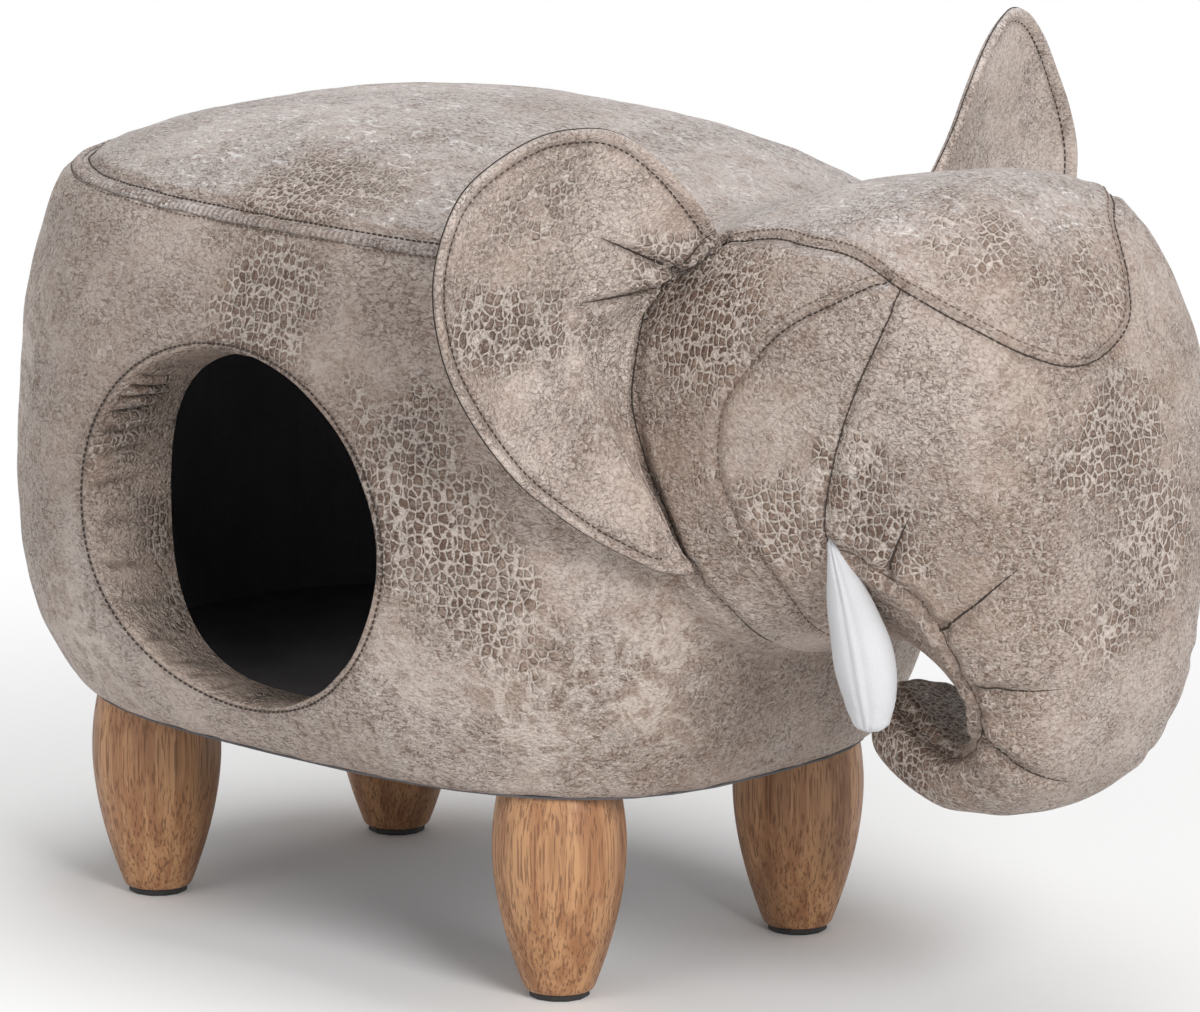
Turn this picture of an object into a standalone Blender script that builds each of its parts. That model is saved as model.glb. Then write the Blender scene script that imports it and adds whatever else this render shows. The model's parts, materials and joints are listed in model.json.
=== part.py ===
"""Elephant pouf: an upholstered animal stool with a lined pet cabin in its body, on four turned legs.

Metres, +Z up, +X towards the trunk, +Y to the animal's left. The doorway is in the right flank.
Lengths below are measured from the centre of the four legs; the whole model is then centred on its box.
"""
import math

import bmesh
import bpy
from mathutils import Vector

# Clearance between touching pieces, and the distance at which points are welded
CLEARANCE = 0.0003
WELD = 0.00001

# Turned legs, set in from the ends and sides of the boards, with their glides, bolts and threaded inserts
LEG_INSET_LENGTH = 0.0545
LEG_INSET_WIDTH = 0.0485
LEG_LENGTH = 0.1012
LEG_BULGE_HEIGHT = 0.071
LEG_BULGE_RADIUS = 0.0325
LEG_FOOT_RADIUS = 0.0165
LEG_TOP_RADIUS = 0.0290
LEG_FOOT_POWER = 1.8
LEG_TOP_POWER = 2.0
GLIDE_THICKNESS = 0.003
GLIDE_RADIUS = 0.0150
GLIDE_PEG_RADIUS = 0.0030
GLIDE_PEG_LENGTH = 0.009
BOLT_RADIUS = 0.004
BOLT_DEPTH_IN_LEG = 0.026
NUT_FLANGE_RADIUS = 0.011
NUT_FLANGE_THICKNESS = 0.0015
NUT_BARREL_WALL = 0.0012

# Boards, bent wall and lining of the cabin
DUST_COVER_THICKNESS = 0.001
BASE_BOARD_THICKNESS = 0.015
SEAT_BOARD_THICKNESS = 0.012
WALL_THICKNESS = 0.006
WALL_HEIGHT = 0.215
LINING_THICKNESS = 0.0015
FLOOR_PAD_THICKNESS = 0.005
BATTEN_WIDTH = 0.040
BATTEN_THICKNESS = 0.010
BATTEN_FOOT_RISE = 0.030

# Upholstered body, as its outer surface; the plan is a superellipse
BODY_LENGTH = 0.470
BODY_WIDTH = 0.344
BODY_PLAN_POWER = 2.9
BASE_INSET = 0.030
SEAM_INSET = 0.021
SEAT_PAD_HEIGHT = 0.0191
BULGE_HEIGHT = 0.105
BELLY_POWER = 2.5
SHOULDER_POWER = 2.75
SEAT_CROWN = 0.037
SEAT_CROWN_POWER = 3.4
FRAME_INSET = 0.009
COVER_THICKNESS = 0.0015

# Doorway in the right flank
DOOR_HALF_LENGTH = 0.105
DOOR_HALF_HEIGHT = 0.090
DOOR_HEIGHT = 0.116
DOOR_LIP = 0.012
DOOR_DROP = 0.005
DOOR_SQUARENESS = 0.6
DOOR_LIP_POWER = 1.7

# Head and trunk: sections from the neck to the tip of the trunk. Each is the inner (x, z) and the outer (x, z),
# measured forward of the body's front and above its underside, and its width as a share of the body's
HEAD_SECTIONS = (
    ((-0.065, 0.055), (-0.065, 0.268), 0.581),
    ((0.010, 0.071), (0.050, 0.302), 0.616),
    ((0.053, 0.081), (0.138, 0.304), 0.570),
    ((0.078, 0.088), (0.187, 0.240), 0.517),
    ((0.098, 0.090), (0.197, 0.148), 0.442),
    ((0.117, 0.081), (0.194, 0.070), 0.349),
    ((0.129, 0.063), (0.160, 0.021), 0.285),
    ((0.114, 0.047), (0.103, 0.010), 0.244),
    ((0.075, 0.057), (0.056, 0.025), 0.180),
    ((0.056, 0.061), (0.044, 0.042), 0.093),
)
HEAD_POWER = 2.6
TRUNK_FIRST_SECTION = 4
SECTION_STEPS = 2
TIP_REACH = (-0.010, 0.002)

# Ears, hinged at their sewn roots: width outwards, lobe over the neck, height and cup
EAR_WIDTH = 0.112
EAR_LOBE_WIDTH = 0.036
EAR_HEIGHT = 0.219
EAR_BOTTOM = 0.121
EAR_THICKNESS = 0.018
EAR_RIM_THICKNESS = 0.005
EAR_CUP_DEPTH = 0.014
EAR_CUP_SHARE = 0.8
EAR_SWEEP_DEG = 72.0
EAR_ROOT_BACK = 0.009
EAR_ROOT_SEAT = -0.0031

# The ear's rim in shares of the width (of the lobe, where negative) and of the height, and its fullest place
EAR_RIM = (
    (0.00, 0.08), (0.10, 0.00), (0.42, 0.09), (0.78, 0.29), (0.98, 0.54), (0.96, 0.78),
    (0.68, 0.96), (0.27, 1.00), (-0.25, 0.90), (-1.00, 0.735), (-0.40, 0.67), (0.00, 0.58), (0.00, 0.33),
)
EAR_MIDDLE = (0.42, 0.56)

# Tusks; their spread is a share of the body's width
TUSK_LENGTH = 0.088
TUSK_RADIUS = 0.0185
TUSK_TAPER = 1.35
TUSK_FULLNESS = 0.75
TUSK_FLATNESS = 0.78
TUSK_FORWARD = 0.088
TUSK_RISE = 0.146
TUSK_SPREAD = 0.523
TUSK_LEAN = 0.020

# Facets
BODY_SEGMENTS = 40
DOOR_SEGMENTS = 28
HEAD_SEGMENTS = 24
EAR_SEGMENTS = 26
TUSK_SEGMENTS = 12
LEG_STEPS = 20
FITTING_STEPS = 12
LEG_LEVELS = 9
CROWN_SHARES = (0.95, 0.85, 0.62, 0.30)
DOOR_SHARES = (0, 0.2, 0.5, 1)
PANEL_SHARES = (0.45, 0.80, 1.0)
CORE_SHARES = (0.45, 0.80)
TUSK_SHARES = (0.12, 0.28, 0.45, 0.62, 0.78, 0.92)
SHARP_EDGE_DEG = 40.0

# Heights and half sizes that follow from the sizes above
UNDERSIDE = GLIDE_THICKNESS + CLEARANCE + LEG_LENGTH + CLEARANCE
LEG_BOTTOM = GLIDE_THICKNESS + CLEARANCE
LEG_TOP = LEG_BOTTOM + LEG_LENGTH
BASE_BOTTOM = UNDERSIDE + DUST_COVER_THICKNESS + CLEARANCE
BASE_TOP = BASE_BOTTOM + BASE_BOARD_THICKNESS
WALL_BOTTOM = BASE_TOP + CLEARANCE
WALL_TOP = WALL_BOTTOM + WALL_HEIGHT
SEAT_BOARD_BOTTOM = WALL_TOP + CLEARANCE
SEAT_BOARD_TOP = SEAT_BOARD_BOTTOM + SEAT_BOARD_THICKNESS
BULGE_LEVEL = UNDERSIDE + BULGE_HEIGHT
SEAM_LEVEL = SEAT_BOARD_TOP + SEAT_PAD_HEIGHT
SEAM_HEIGHT = SEAM_LEVEL - UNDERSIDE
BODY_HALF = (BODY_LENGTH / 2, BODY_WIDTH / 2)
FRAME_HALF = tuple(half - BASE_INSET - FRAME_INSET for half in BODY_HALF)
BODY_FRONT = BODY_HALF[0]
HEAD_REACH = BODY_FRONT + max(outer[0] for _, outer, _ in HEAD_SECTIONS)
CENTRE_X = (HEAD_REACH - BODY_HALF[0]) / 2
BODY_MIDDLE = Vector((0, 0, UNDERSIDE + SEAM_HEIGHT / 2))
INSERT_RADIUS = BOLT_RADIUS + CLEARANCE + NUT_BARREL_WALL

for old in list(bpy.data.objects):
    bpy.data.objects.remove(old, do_unlink=True)

PARTS = bpy.data.collections.new("elephant_pouf")
CUTTERS = bpy.data.collections.new("elephant_pouf_cutters")
bpy.context.scene.collection.children.link(PARTS)
bpy.context.scene.collection.children.link(CUTTERS)


# Materials
def material(name, colour, roughness, metallic=0.0):
    made = bpy.data.materials.new(name)
    made.use_nodes = True
    shader = made.node_tree.nodes["Principled BSDF"]
    shader.inputs["Base Color"].default_value = (*colour, 1.0)
    shader.inputs["Roughness"].default_value = roughness
    shader.inputs["Metallic"].default_value = metallic
    return made


LEATHER = material("taupe_leather", (0.33, 0.27, 0.23), 0.6)
TUSK_CLOTH = material("white_tusk_cloth", (0.86, 0.86, 0.85), 0.8)
LEG_WOOD = material("brown_wood", (0.27, 0.13, 0.06), 0.5)
PLYWOOD = material("plywood", (0.55, 0.42, 0.27), 0.7)
BLACK_CLOTH = material("black_lining", (0.01, 0.01, 0.01), 0.9)
FOAM = material("foam", (0.80, 0.76, 0.60), 0.95)
STEEL = material("zinc_steel", (0.60, 0.60, 0.58), 0.35, 1.0)
BLACK_PLASTIC = material("black_plastic", (0.02, 0.02, 0.02), 0.5)


# Scene helpers
def empty(name, location, parent=None):
    made = bpy.data.objects.new(name, None)
    made.location = location
    made.parent = parent
    PARTS.objects.link(made)
    return made


CENTRE = empty("pouf_centre", (-CENTRE_X, 0, 0))


def place(name, mesh, finish, location=(0, 0, 0), parent=None):
    made = bpy.data.objects.new(name, mesh)
    made.location = location
    made.parent = parent or CENTRE
    mesh.materials.clear()
    mesh.materials.append(finish)
    mesh.shade_smooth()
    mesh.set_sharp_from_angle(angle=math.radians(SHARP_EDGE_DEG))
    PARTS.objects.link(made)
    return made


def cutter(name, mesh, location=(0, 0, 0)):
    made = bpy.data.objects.new(name, mesh)
    made.location = location
    made.parent = CENTRE
    made.hide_render = True
    made.display_type = "WIRE"
    CUTTERS.objects.link(made)
    return made


def cut(target, tool):
    step = target.modifiers.new(tool.name, "BOOLEAN")
    step.operation = "DIFFERENCE"
    step.solver = "EXACT"
    step.object = tool


def make_turned(name, profile, steps, finish, location, parent):
    """A solid turned round Z from an (r, z) profile that runs down its outer side."""
    mesh = bpy.data.meshes.new(name)
    points = [(radius, 0.0, height) for radius, height in profile]
    mesh.from_pydata(points, [(i, i + 1) for i in range(len(points) - 1)], [])
    made = place(name, mesh, finish, location, parent)
    screw = made.modifiers.new("turn", "SCREW")
    screw.steps = steps
    screw.render_steps = steps
    screw.use_merge_vertices = True
    screw.merge_threshold = WELD


def add_facets(work, corners):
    """One triangle, or a quad split along the diagonal that lies further from the body's middle."""
    if len(corners) == 3:
        work.faces.new(corners)
        return
    a, b, c, d = corners
    if ((a.co + c.co) / 2 - BODY_MIDDLE).length >= ((b.co + d.co) / 2 - BODY_MIDDLE).length:
        work.faces.new((a, b, c))
        work.faces.new((a, c, d))
    else:
        work.faces.new((a, b, d))
        work.faces.new((b, c, d))


def skin(name, rings, wrap=False):
    """A closed mesh over rings of points; one point is a pole, and wrap joins the last ring to the first."""
    work = bmesh.new()
    loops = [[work.verts.new(point) for point in ring] for ring in rings]
    pairs = list(zip(loops, loops[1:]))
    if wrap:
        pairs.append((loops[-1], loops[0]))
    for first, second in pairs:
        count = max(len(first), len(second))
        if count == 1:
            continue
        for i in range(count):
            j = (i + 1) % count
            corners = [first[i % len(first)], first[j % len(first)]]
            corners += [second[j % len(second)], second[i % len(second)]]
            add_facets(work, list(dict.fromkeys(corners)))
    if not wrap:
        for end in (loops[0], loops[-1]):
            if len(end) > 1:
                work.faces.new(end)
    bmesh.ops.recalc_face_normals(work, faces=work.faces)
    bmesh.ops.triangulate(work, faces=[face for face in work.faces if len(face.verts) > 4])
    mesh = bpy.data.meshes.new(name)
    work.to_mesh(mesh)
    work.free()
    return mesh


def flat_sheet(name, outline, bottom, thickness):
    """A flat outline, as a filled 2D curve with thickness, made a mesh."""
    curve = bpy.data.curves.new(name, "CURVE")
    curve.dimensions = "2D"
    curve.fill_mode = "BOTH"
    curve.extrude = thickness / 2
    spline = curve.splines.new("POLY")
    spline.points.add(len(outline) - 1)
    for point, (x, y) in zip(spline.points, outline):
        point.co = (x, y, 0, 1)
    spline.use_cyclic_u = True
    drawn = bpy.data.objects.new(name, curve)
    PARTS.objects.link(drawn)
    graph = bpy.context.evaluated_depsgraph_get()
    mesh = bpy.data.meshes.new_from_object(drawn.evaluated_get(graph))
    bpy.data.objects.remove(drawn)
    bpy.data.curves.remove(curve)
    work = bmesh.new()
    work.from_mesh(mesh)
    bmesh.ops.remove_doubles(work, verts=work.verts, dist=WELD)
    bmesh.ops.translate(work, verts=work.verts, vec=(0, 0, bottom + thickness / 2))
    bmesh.ops.recalc_face_normals(work, faces=work.faces)
    work.to_mesh(mesh)
    work.free()
    return mesh


# Form of the body
def power(value, exponent):
    return math.copysign(abs(value) ** exponent, value)


def plan_point(half, angle):
    """A point of the superellipse plan with these half sizes."""
    exponent = 2 / BODY_PLAN_POWER
    return half[0] * power(math.cos(angle), exponent), half[1] * power(math.sin(angle), exponent)


def plan(half, count=BODY_SEGMENTS):
    return [plan_point(half, 2 * math.pi * i / count) for i in range(count)]


def body_inset(level):
    """How far the flank lies inside the widest outline at this height."""
    if level < BULGE_LEVEL:
        return BASE_INSET * ((BULGE_LEVEL - level) / BULGE_HEIGHT) ** BELLY_POWER
    return SEAM_INSET * ((level - BULGE_LEVEL) / (SEAM_HEIGHT - BULGE_HEIGHT)) ** SHOULDER_POWER


def body_half(level, inside=0.0):
    inset = body_inset(level) + inside
    return BODY_HALF[0] - inset, BODY_HALF[1] - inset


def body_ring(level, inside=0.0, height=None):
    z = level if height is None else height
    return [(x, y, z) for x, y in plan(body_half(level, inside))]


def levels_between(low, high, count):
    return [low + (high - low) * i / count for i in range(count + 1)]


WALL_LEVELS = levels_between(UNDERSIDE, BULGE_LEVEL, 4)[:-1] + levels_between(BULGE_LEVEL, SEAT_BOARD_TOP, 3)
COVER_LEVELS = WALL_LEVELS + [SEAM_LEVEL]


def crown_ring(share, inside=0.0, drop=0.0):
    """A ring of the crowned seat, from the seam at share 1 to the middle at share 0."""
    half = body_half(SEAM_LEVEL, inside)
    z = SEAM_LEVEL + CLEARANCE + SEAT_CROWN * (1 - share ** SEAT_CROWN_POWER) - drop
    if share == 0:
        return [(0, 0, z)]
    return [(x * share, y * share, z) for x, y in plan(half)]


# Legs and their fittings
def leg_radius(height):
    if height < LEG_BULGE_HEIGHT:
        share = ((LEG_BULGE_HEIGHT - height) / LEG_BULGE_HEIGHT) ** LEG_FOOT_POWER
        return LEG_BULGE_RADIUS - (LEG_BULGE_RADIUS - LEG_FOOT_RADIUS) * share
    share = ((height - LEG_BULGE_HEIGHT) / (LEG_LENGTH - LEG_BULGE_HEIGHT)) ** LEG_TOP_POWER
    return LEG_BULGE_RADIUS - (LEG_BULGE_RADIUS - LEG_TOP_RADIUS) * share


def leg_profile():
    bolt_hole = BOLT_RADIUS + CLEARANCE
    peg_hole = GLIDE_PEG_RADIUS + CLEARANCE
    hole_end = LEG_LENGTH - BOLT_DEPTH_IN_LEG - CLEARANCE
    peg_end = GLIDE_PEG_LENGTH + CLEARANCE
    sides = [(leg_radius(h), h) for h in reversed(levels_between(0, LEG_LENGTH, LEG_LEVELS))]
    inner_top = [(0, hole_end), (bolt_hole, hole_end), (bolt_hole, LEG_LENGTH)]
    return inner_top + sides + [(peg_hole, 0), (peg_hole, peg_end), (0, peg_end)]


def glide_profile():
    peg_top = GLIDE_THICKNESS + CLEARANCE + GLIDE_PEG_LENGTH
    edge = GLIDE_THICKNESS / 3
    return [(0, peg_top), (GLIDE_PEG_RADIUS, peg_top), (GLIDE_PEG_RADIUS, GLIDE_THICKNESS),
            (GLIDE_RADIUS, GLIDE_THICKNESS), (GLIDE_RADIUS, edge), (GLIDE_RADIUS - edge, 0), (0, 0)]


def bolt_profile():
    bottom = LEG_TOP - BOLT_DEPTH_IN_LEG
    top = BASE_TOP
    point = BOLT_RADIUS / 2
    upper = [(0, top), (point, top), (BOLT_RADIUS, top - point)]
    return upper + [(BOLT_RADIUS, bottom + point), (point, bottom), (0, bottom)]


def insert_profile():
    bore = BOLT_RADIUS + CLEARANCE
    barrel_end = BASE_BOTTOM + BASE_BOARD_THICKNESS / 4
    flange_bottom = BASE_TOP + CLEARANCE
    flange_top = flange_bottom + NUT_FLANGE_THICKNESS
    flange = [(NUT_FLANGE_RADIUS, flange_top), (NUT_FLANGE_RADIUS, flange_bottom)]
    barrel = [(INSERT_RADIUS, flange_bottom), (INSERT_RADIUS, barrel_end), (bore, barrel_end)]
    return [(bore, barrel_end), (bore, flange_top)] + flange + barrel


def leg_places():
    leg_x = FRAME_HALF[0] - LEG_INSET_LENGTH
    leg_y = FRAME_HALF[1] - LEG_INSET_WIDTH
    for end, x in (("front", leg_x), ("rear", -leg_x)):
        for side, y in (("right", -leg_y), ("left", leg_y)):
            yield f"{end}_{side}", x, y


def make_legs():
    for where, x, y in leg_places():
        post = empty(f"leg_axis_{where}", (x, y, 0), CENTRE)
        make_turned(f"leg_{where}", leg_profile(), LEG_STEPS, LEG_WOOD, (0, 0, LEG_BOTTOM), post)
        make_turned(f"glide_{where}", glide_profile(), FITTING_STEPS, BLACK_PLASTIC, (0, 0, 0), post)
        make_turned(f"hanger_bolt_{where}", bolt_profile(), FITTING_STEPS, STEEL, (0, 0, 0), post)
        make_turned(f"threaded_insert_{where}", insert_profile(), FITTING_STEPS, STEEL, (0, 0, 0), post)


def round_cutter(name, radius, bottom, top, x, y):
    work = bmesh.new()
    size = {"radius1": radius, "radius2": radius, "depth": top - bottom}
    bmesh.ops.create_cone(work, cap_ends=True, segments=FITTING_STEPS, **size)
    mesh = bpy.data.meshes.new(name)
    work.to_mesh(mesh)
    work.free()
    return cutter(name, mesh, (x, y, (bottom + top) / 2))


# Boards and cabin
def grown(half, amount):
    return half[0] + amount, half[1] + amount


def make_sheet(name, half, bottom, thickness, finish):
    return place(name, flat_sheet(name, plan(half), bottom, thickness), finish)


def make_boards():
    dust_half = body_half(UNDERSIDE, COVER_THICKNESS + CLEARANCE)
    dust = make_sheet("dust_cover", dust_half, UNDERSIDE, DUST_COVER_THICKNESS, BLACK_CLOTH)
    base = make_sheet("base_board", FRAME_HALF, BASE_BOTTOM, BASE_BOARD_THICKNESS, PLYWOOD)
    make_sheet("seat_board", FRAME_HALF, SEAT_BOARD_BOTTOM, SEAT_BOARD_THICKNESS, PLYWOOD)
    cabin = grown(FRAME_HALF, -WALL_THICKNESS - CLEARANCE)
    pad_bottom = BASE_TOP + CLEARANCE
    pad = make_sheet("floor_pad", cabin, pad_bottom, FLOOR_PAD_THICKNESS, BLACK_CLOTH)
    ceiling_bottom = SEAT_BOARD_BOTTOM - CLEARANCE - LINING_THICKNESS
    make_sheet("ceiling_lining", cabin, ceiling_bottom, LINING_THICKNESS, BLACK_CLOTH)
    pocket_top = pad_bottom + NUT_FLANGE_THICKNESS + CLEARANCE
    for where, x, y in leg_places():
        bolt_hole = BOLT_RADIUS + CLEARANCE
        cut(dust, round_cutter(f"bolt_hole_{where}", bolt_hole, 0, BASE_BOTTOM, x, y))
        insert_hole = INSERT_RADIUS + CLEARANCE
        cut(base, round_cutter(f"insert_hole_{where}", insert_hole, UNDERSIDE, WALL_TOP, x, y))
        flange_pocket = NUT_FLANGE_RADIUS + CLEARANCE
        cut(pad, round_cutter(f"flange_pocket_{where}", flange_pocket, UNDERSIDE, pocket_top, x, y))


def half_turn(side, profile):
    """Rings of a profile carried round one half of the body: side -1 is the right, +1 the left."""
    count = BODY_SEGMENTS // 2
    rings = []
    for i in range(count + 1):
        angle = side * math.pi * i / count
        ring = [(*plan_point(half, angle), z) for half, z in profile]
        if i in (0, count):
            ring = [(x, side * CLEARANCE / 2, z) for x, _, z in ring]
        rings.append(ring)
    return rings


def make_wall(door):
    inner = grown(FRAME_HALF, -WALL_THICKNESS)
    profile = [(FRAME_HALF, WALL_BOTTOM), (FRAME_HALF, WALL_TOP), (inner, WALL_TOP), (inner, WALL_BOTTOM)]
    place("wall_panel_left", skin("wall_panel_left", half_turn(1, profile)), PLYWOOD)
    right = place("wall_panel_right", skin("wall_panel_right", half_turn(-1, profile)), PLYWOOD)
    cut(right, door)
    lining_outer = grown(inner, -CLEARANCE)
    lining_inner = grown(lining_outer, -LINING_THICKNESS)
    bottom = BASE_TOP + FLOOR_PAD_THICKNESS + 2 * CLEARANCE
    top = SEAT_BOARD_BOTTOM - LINING_THICKNESS - 2 * CLEARANCE
    rings = [[(x, y, z) for x, y in plan(half)] for half, z in
             ((lining_outer, bottom), (lining_outer, top), (lining_inner, top), (lining_inner, bottom))]
    lining = place("wall_lining", skin("wall_lining", rings, wrap=True), BLACK_CLOTH)
    cut(lining, door)


def batten_mesh(name, end, extra):
    """A joint strip on the outside of the wall, at the front (+1) or rear (-1)."""
    bottom = WALL_BOTTOM + BATTEN_FOOT_RISE - extra
    top = WALL_TOP + extra
    near = FRAME_HALF[0] + CLEARANCE - extra
    far = near + BATTEN_THICKNESS + 2 * extra
    work = bmesh.new()
    bmesh.ops.create_cube(work, size=1.0)
    bmesh.ops.scale(work, vec=(far - near, BATTEN_WIDTH + 2 * extra, top - bottom), verts=work.verts)
    bmesh.ops.translate(work, vec=(end * (near + far) / 2, 0, (bottom + top) / 2), verts=work.verts)
    mesh = bpy.data.meshes.new(name)
    work.to_mesh(mesh)
    work.free()
    return mesh


# Upholstery of the body
def make_wall_foam(door):
    inside = COVER_THICKNESS + CLEARANCE
    outer = [(body_half(level, inside), level) for level in WALL_LEVELS]
    foot = outer[0][0], BASE_BOTTOM
    inner_half = grown(FRAME_HALF, CLEARANCE)
    profile = [foot] + outer[1:] + [(inner_half, SEAT_BOARD_TOP), (inner_half, BASE_BOTTOM)]
    pieces = {}
    for side, label in ((-1, "right"), (1, "left")):
        name = f"wall_foam_{label}"
        pieces[label] = place(name, skin(name, half_turn(side, profile)), FOAM)
    for end, label in ((1, "front"), (-1, "rear")):
        place(f"joint_batten_{label}", batten_mesh(f"joint_batten_{label}", end, 0), PLYWOOD)
        pocket = cutter(f"batten_pocket_{label}", batten_mesh(f"batten_pocket_{label}", end, CLEARANCE))
        for foam in pieces.values():
            cut(foam, pocket)
    cut(pieces["right"], door)


def make_seat():
    inside = COVER_THICKNESS + CLEARANCE
    rings = [body_ring(SEAT_BOARD_TOP, inside, SEAT_BOARD_TOP + CLEARANCE), body_ring(SEAM_LEVEL, inside)]
    rings += [crown_ring(share, inside, inside) for share in CROWN_SHARES + (0,)]
    place("seat_foam", skin("seat_foam", rings), FOAM)
    outer = [crown_ring(share) for share in (1,) + CROWN_SHARES + (0,)]
    inner = [crown_ring(1, COVER_THICKNESS)]
    inner += [crown_ring(share, COVER_THICKNESS, COVER_THICKNESS) for share in CROWN_SHARES + (0,)]
    place("seat_cover", skin("seat_cover", outer + inner[::-1], wrap=True), LEATHER)


def make_side_cover(door):
    outer = [body_ring(level) for level in COVER_LEVELS]
    inner = [body_ring(level, COVER_THICKNESS) for level in COVER_LEVELS]
    cover = place("side_cover", skin("side_cover", outer + inner[::-1], wrap=True), LEATHER)
    cut(cover, door)


def flank(x, z):
    """The right flank's y at this length and height."""
    half = body_half(z)
    return -half[1] * (1 - abs(x / half[0]) ** BODY_PLAN_POWER) ** (1 / BODY_PLAN_POWER)


def door_ring(share, grow, depth=None):
    """A ring of the doorway's funnel, from the flank at share 0 to the cabin at share 1."""
    flare = DOOR_LIP * (1 - (1 - share) ** DOOR_LIP_POWER)
    half_length = DOOR_HALF_LENGTH - flare + grow
    half_height = DOOR_HALF_HEIGHT - flare / 2 + grow
    z_middle = UNDERSIDE + DOOR_HEIGHT - DOOR_DROP * share
    wall = WALL_THICKNESS + LINING_THICKNESS
    cabin = (FRAME_HALF[0] - wall, FRAME_HALF[1] - wall)
    exponent = 2 / (2 + DOOR_SQUARENESS * share)
    ring = []
    for i in range(DOOR_SEGMENTS):
        angle = 2 * math.pi * i / DOOR_SEGMENTS
        x = half_length * power(math.cos(angle), exponent)
        z = z_middle + half_height * power(math.sin(angle), exponent)
        cabin_side = -cabin[1] * (1 - abs(x / cabin[0]) ** BODY_PLAN_POWER) ** (1 / BODY_PLAN_POWER)
        y = depth if depth is not None else flank(x, z) * (1 - share) + cabin_side * share
        ring.append((x, y, z))
    return ring


def make_doorway_cutter():
    outside = -BODY_WIDTH
    rings = [door_ring(0, CLEARANCE, outside)]
    rings += [door_ring(share, CLEARANCE) for share in DOOR_SHARES]
    rings.append(door_ring(1, CLEARANCE, -FRAME_HALF[1] / 2))
    return cutter("doorway_cutter", skin("doorway_cutter", rings))


def make_collar():
    outer = [door_ring(share, 0) for share in DOOR_SHARES]
    inner = [door_ring(share, -COVER_THICKNESS) for share in DOOR_SHARES]
    place("doorway_collar", skin("doorway_collar", outer + inner[::-1], wrap=True), LEATHER)


# Head and trunk
def spline(points, position):
    """A smooth curve through the points, read at a position counted in points."""
    index = min(int(position), len(points) - 2)
    t = position - index
    around = [points[min(max(index + k, 0), len(points) - 1)] for k in (-1, 0, 1, 2)]
    a, b, c, d = [Vector(point) for point in around]
    square = 2 * a - 5 * b + 4 * c - d
    cube = 3 * b - 3 * c + d - a
    return 0.5 * (2 * b + (c - a) * t + square * t ** 2 + cube * t ** 3)


def head_ring(position, grow=0.0, shift=0.0):
    """A section of the head and trunk; shift moves it along the form, towards the tip."""
    inner = spline([section[0] for section in HEAD_SECTIONS], position)
    outer = spline([section[1] for section in HEAD_SECTIONS], position)
    width = spline([(section[2], 0) for section in HEAD_SECTIONS], position).x * BODY_HALF[1] + grow
    middle = (inner + outer) / 2 + Vector((BODY_FRONT, UNDERSIDE))
    across = (outer - inner).normalized()
    reach = (outer - inner).length / 2 + grow
    along = Vector((across.y, -across.x))
    middle = middle + along * shift
    exponent = 2 / HEAD_POWER
    ring = []
    for i in range(HEAD_SEGMENTS):
        angle = 2 * math.pi * i / HEAD_SEGMENTS
        point = middle + across * reach * power(math.cos(angle), exponent)
        ring.append((point.x, width * power(math.sin(angle), exponent), point.y))
    return ring


def pole(ring, beyond):
    """A point past the end of a form, for its rounded tip."""
    middle = sum((Vector(point) for point in ring), Vector()) / len(ring)
    return [tuple(middle + beyond)]


def section_positions(first, last):
    count = (last - first) * SECTION_STEPS
    return levels_between(first, last, count)


LAST_SECTION = len(HEAD_SECTIONS) - 1


def tip_pole(grow):
    reach = Vector((TIP_REACH[0], 0, TIP_REACH[1]))
    return pole(head_ring(LAST_SECTION, grow), reach + reach.normalized() * grow)


def make_head(body_envelope):
    inside = -COVER_THICKNESS - CLEARANCE
    head_at = section_positions(0, TRUNK_FIRST_SECTION)
    trunk_at = section_positions(TRUNK_FIRST_SECTION, LAST_SECTION)
    outer = [head_ring(at) for at in head_at]
    inner = [head_ring(at, -COVER_THICKNESS) for at in head_at]
    cover = place("head_cover", skin("head_cover", outer + inner[::-1], wrap=True), LEATHER)
    filling = place("head_filling", skin("head_filling", [head_ring(at, inside) for at in head_at]), FOAM)
    cut(cover, body_envelope)
    cut(filling, body_envelope)
    outer = [head_ring(at, 0, CLEARANCE) for at in trunk_at] + [tip_pole(0)]
    inner = [head_ring(at, -COVER_THICKNESS, CLEARANCE) for at in trunk_at] + [tip_pole(-COVER_THICKNESS)]
    place("trunk_cover", skin("trunk_cover", outer + inner[::-1], wrap=True), LEATHER)
    rings = [head_ring(at, inside, CLEARANCE) for at in trunk_at] + [tip_pole(inside)]
    place("trunk_filling", skin("trunk_filling", rings), FOAM)


def make_body_envelope():
    rings = [body_ring(level, -CLEARANCE) for level in COVER_LEVELS]
    rings += [crown_ring(share, -CLEARANCE, -CLEARANCE) for share in (1,) + CROWN_SHARES + (0,)]
    return cutter("body_envelope", skin("body_envelope", rings))


def make_head_envelope():
    rings = [head_ring(at, CLEARANCE) for at in section_positions(0, LAST_SECTION)] + [tip_pole(CLEARANCE)]
    return cutter("head_envelope", skin("head_envelope", rings))


# Ears
def ear_place(share_out, share_up):
    reach = EAR_WIDTH if share_out > 0 else EAR_LOBE_WIDTH
    return Vector((share_out * reach, UNDERSIDE + EAR_BOTTOM + share_up * EAR_HEIGHT))


def ear_outline():
    keys = [ear_place(*key) for key in EAR_RIM]
    closed = keys[-1:] + keys + keys[:2]
    step = len(keys) / EAR_SEGMENTS
    return [spline(closed, 1 + i * step) for i in range(EAR_SEGMENTS)]


def ear_half_thickness(share):
    return (EAR_RIM_THICKNESS + (EAR_THICKNESS - EAR_RIM_THICKNESS) * (1 - share ** 2)) / 2


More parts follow.
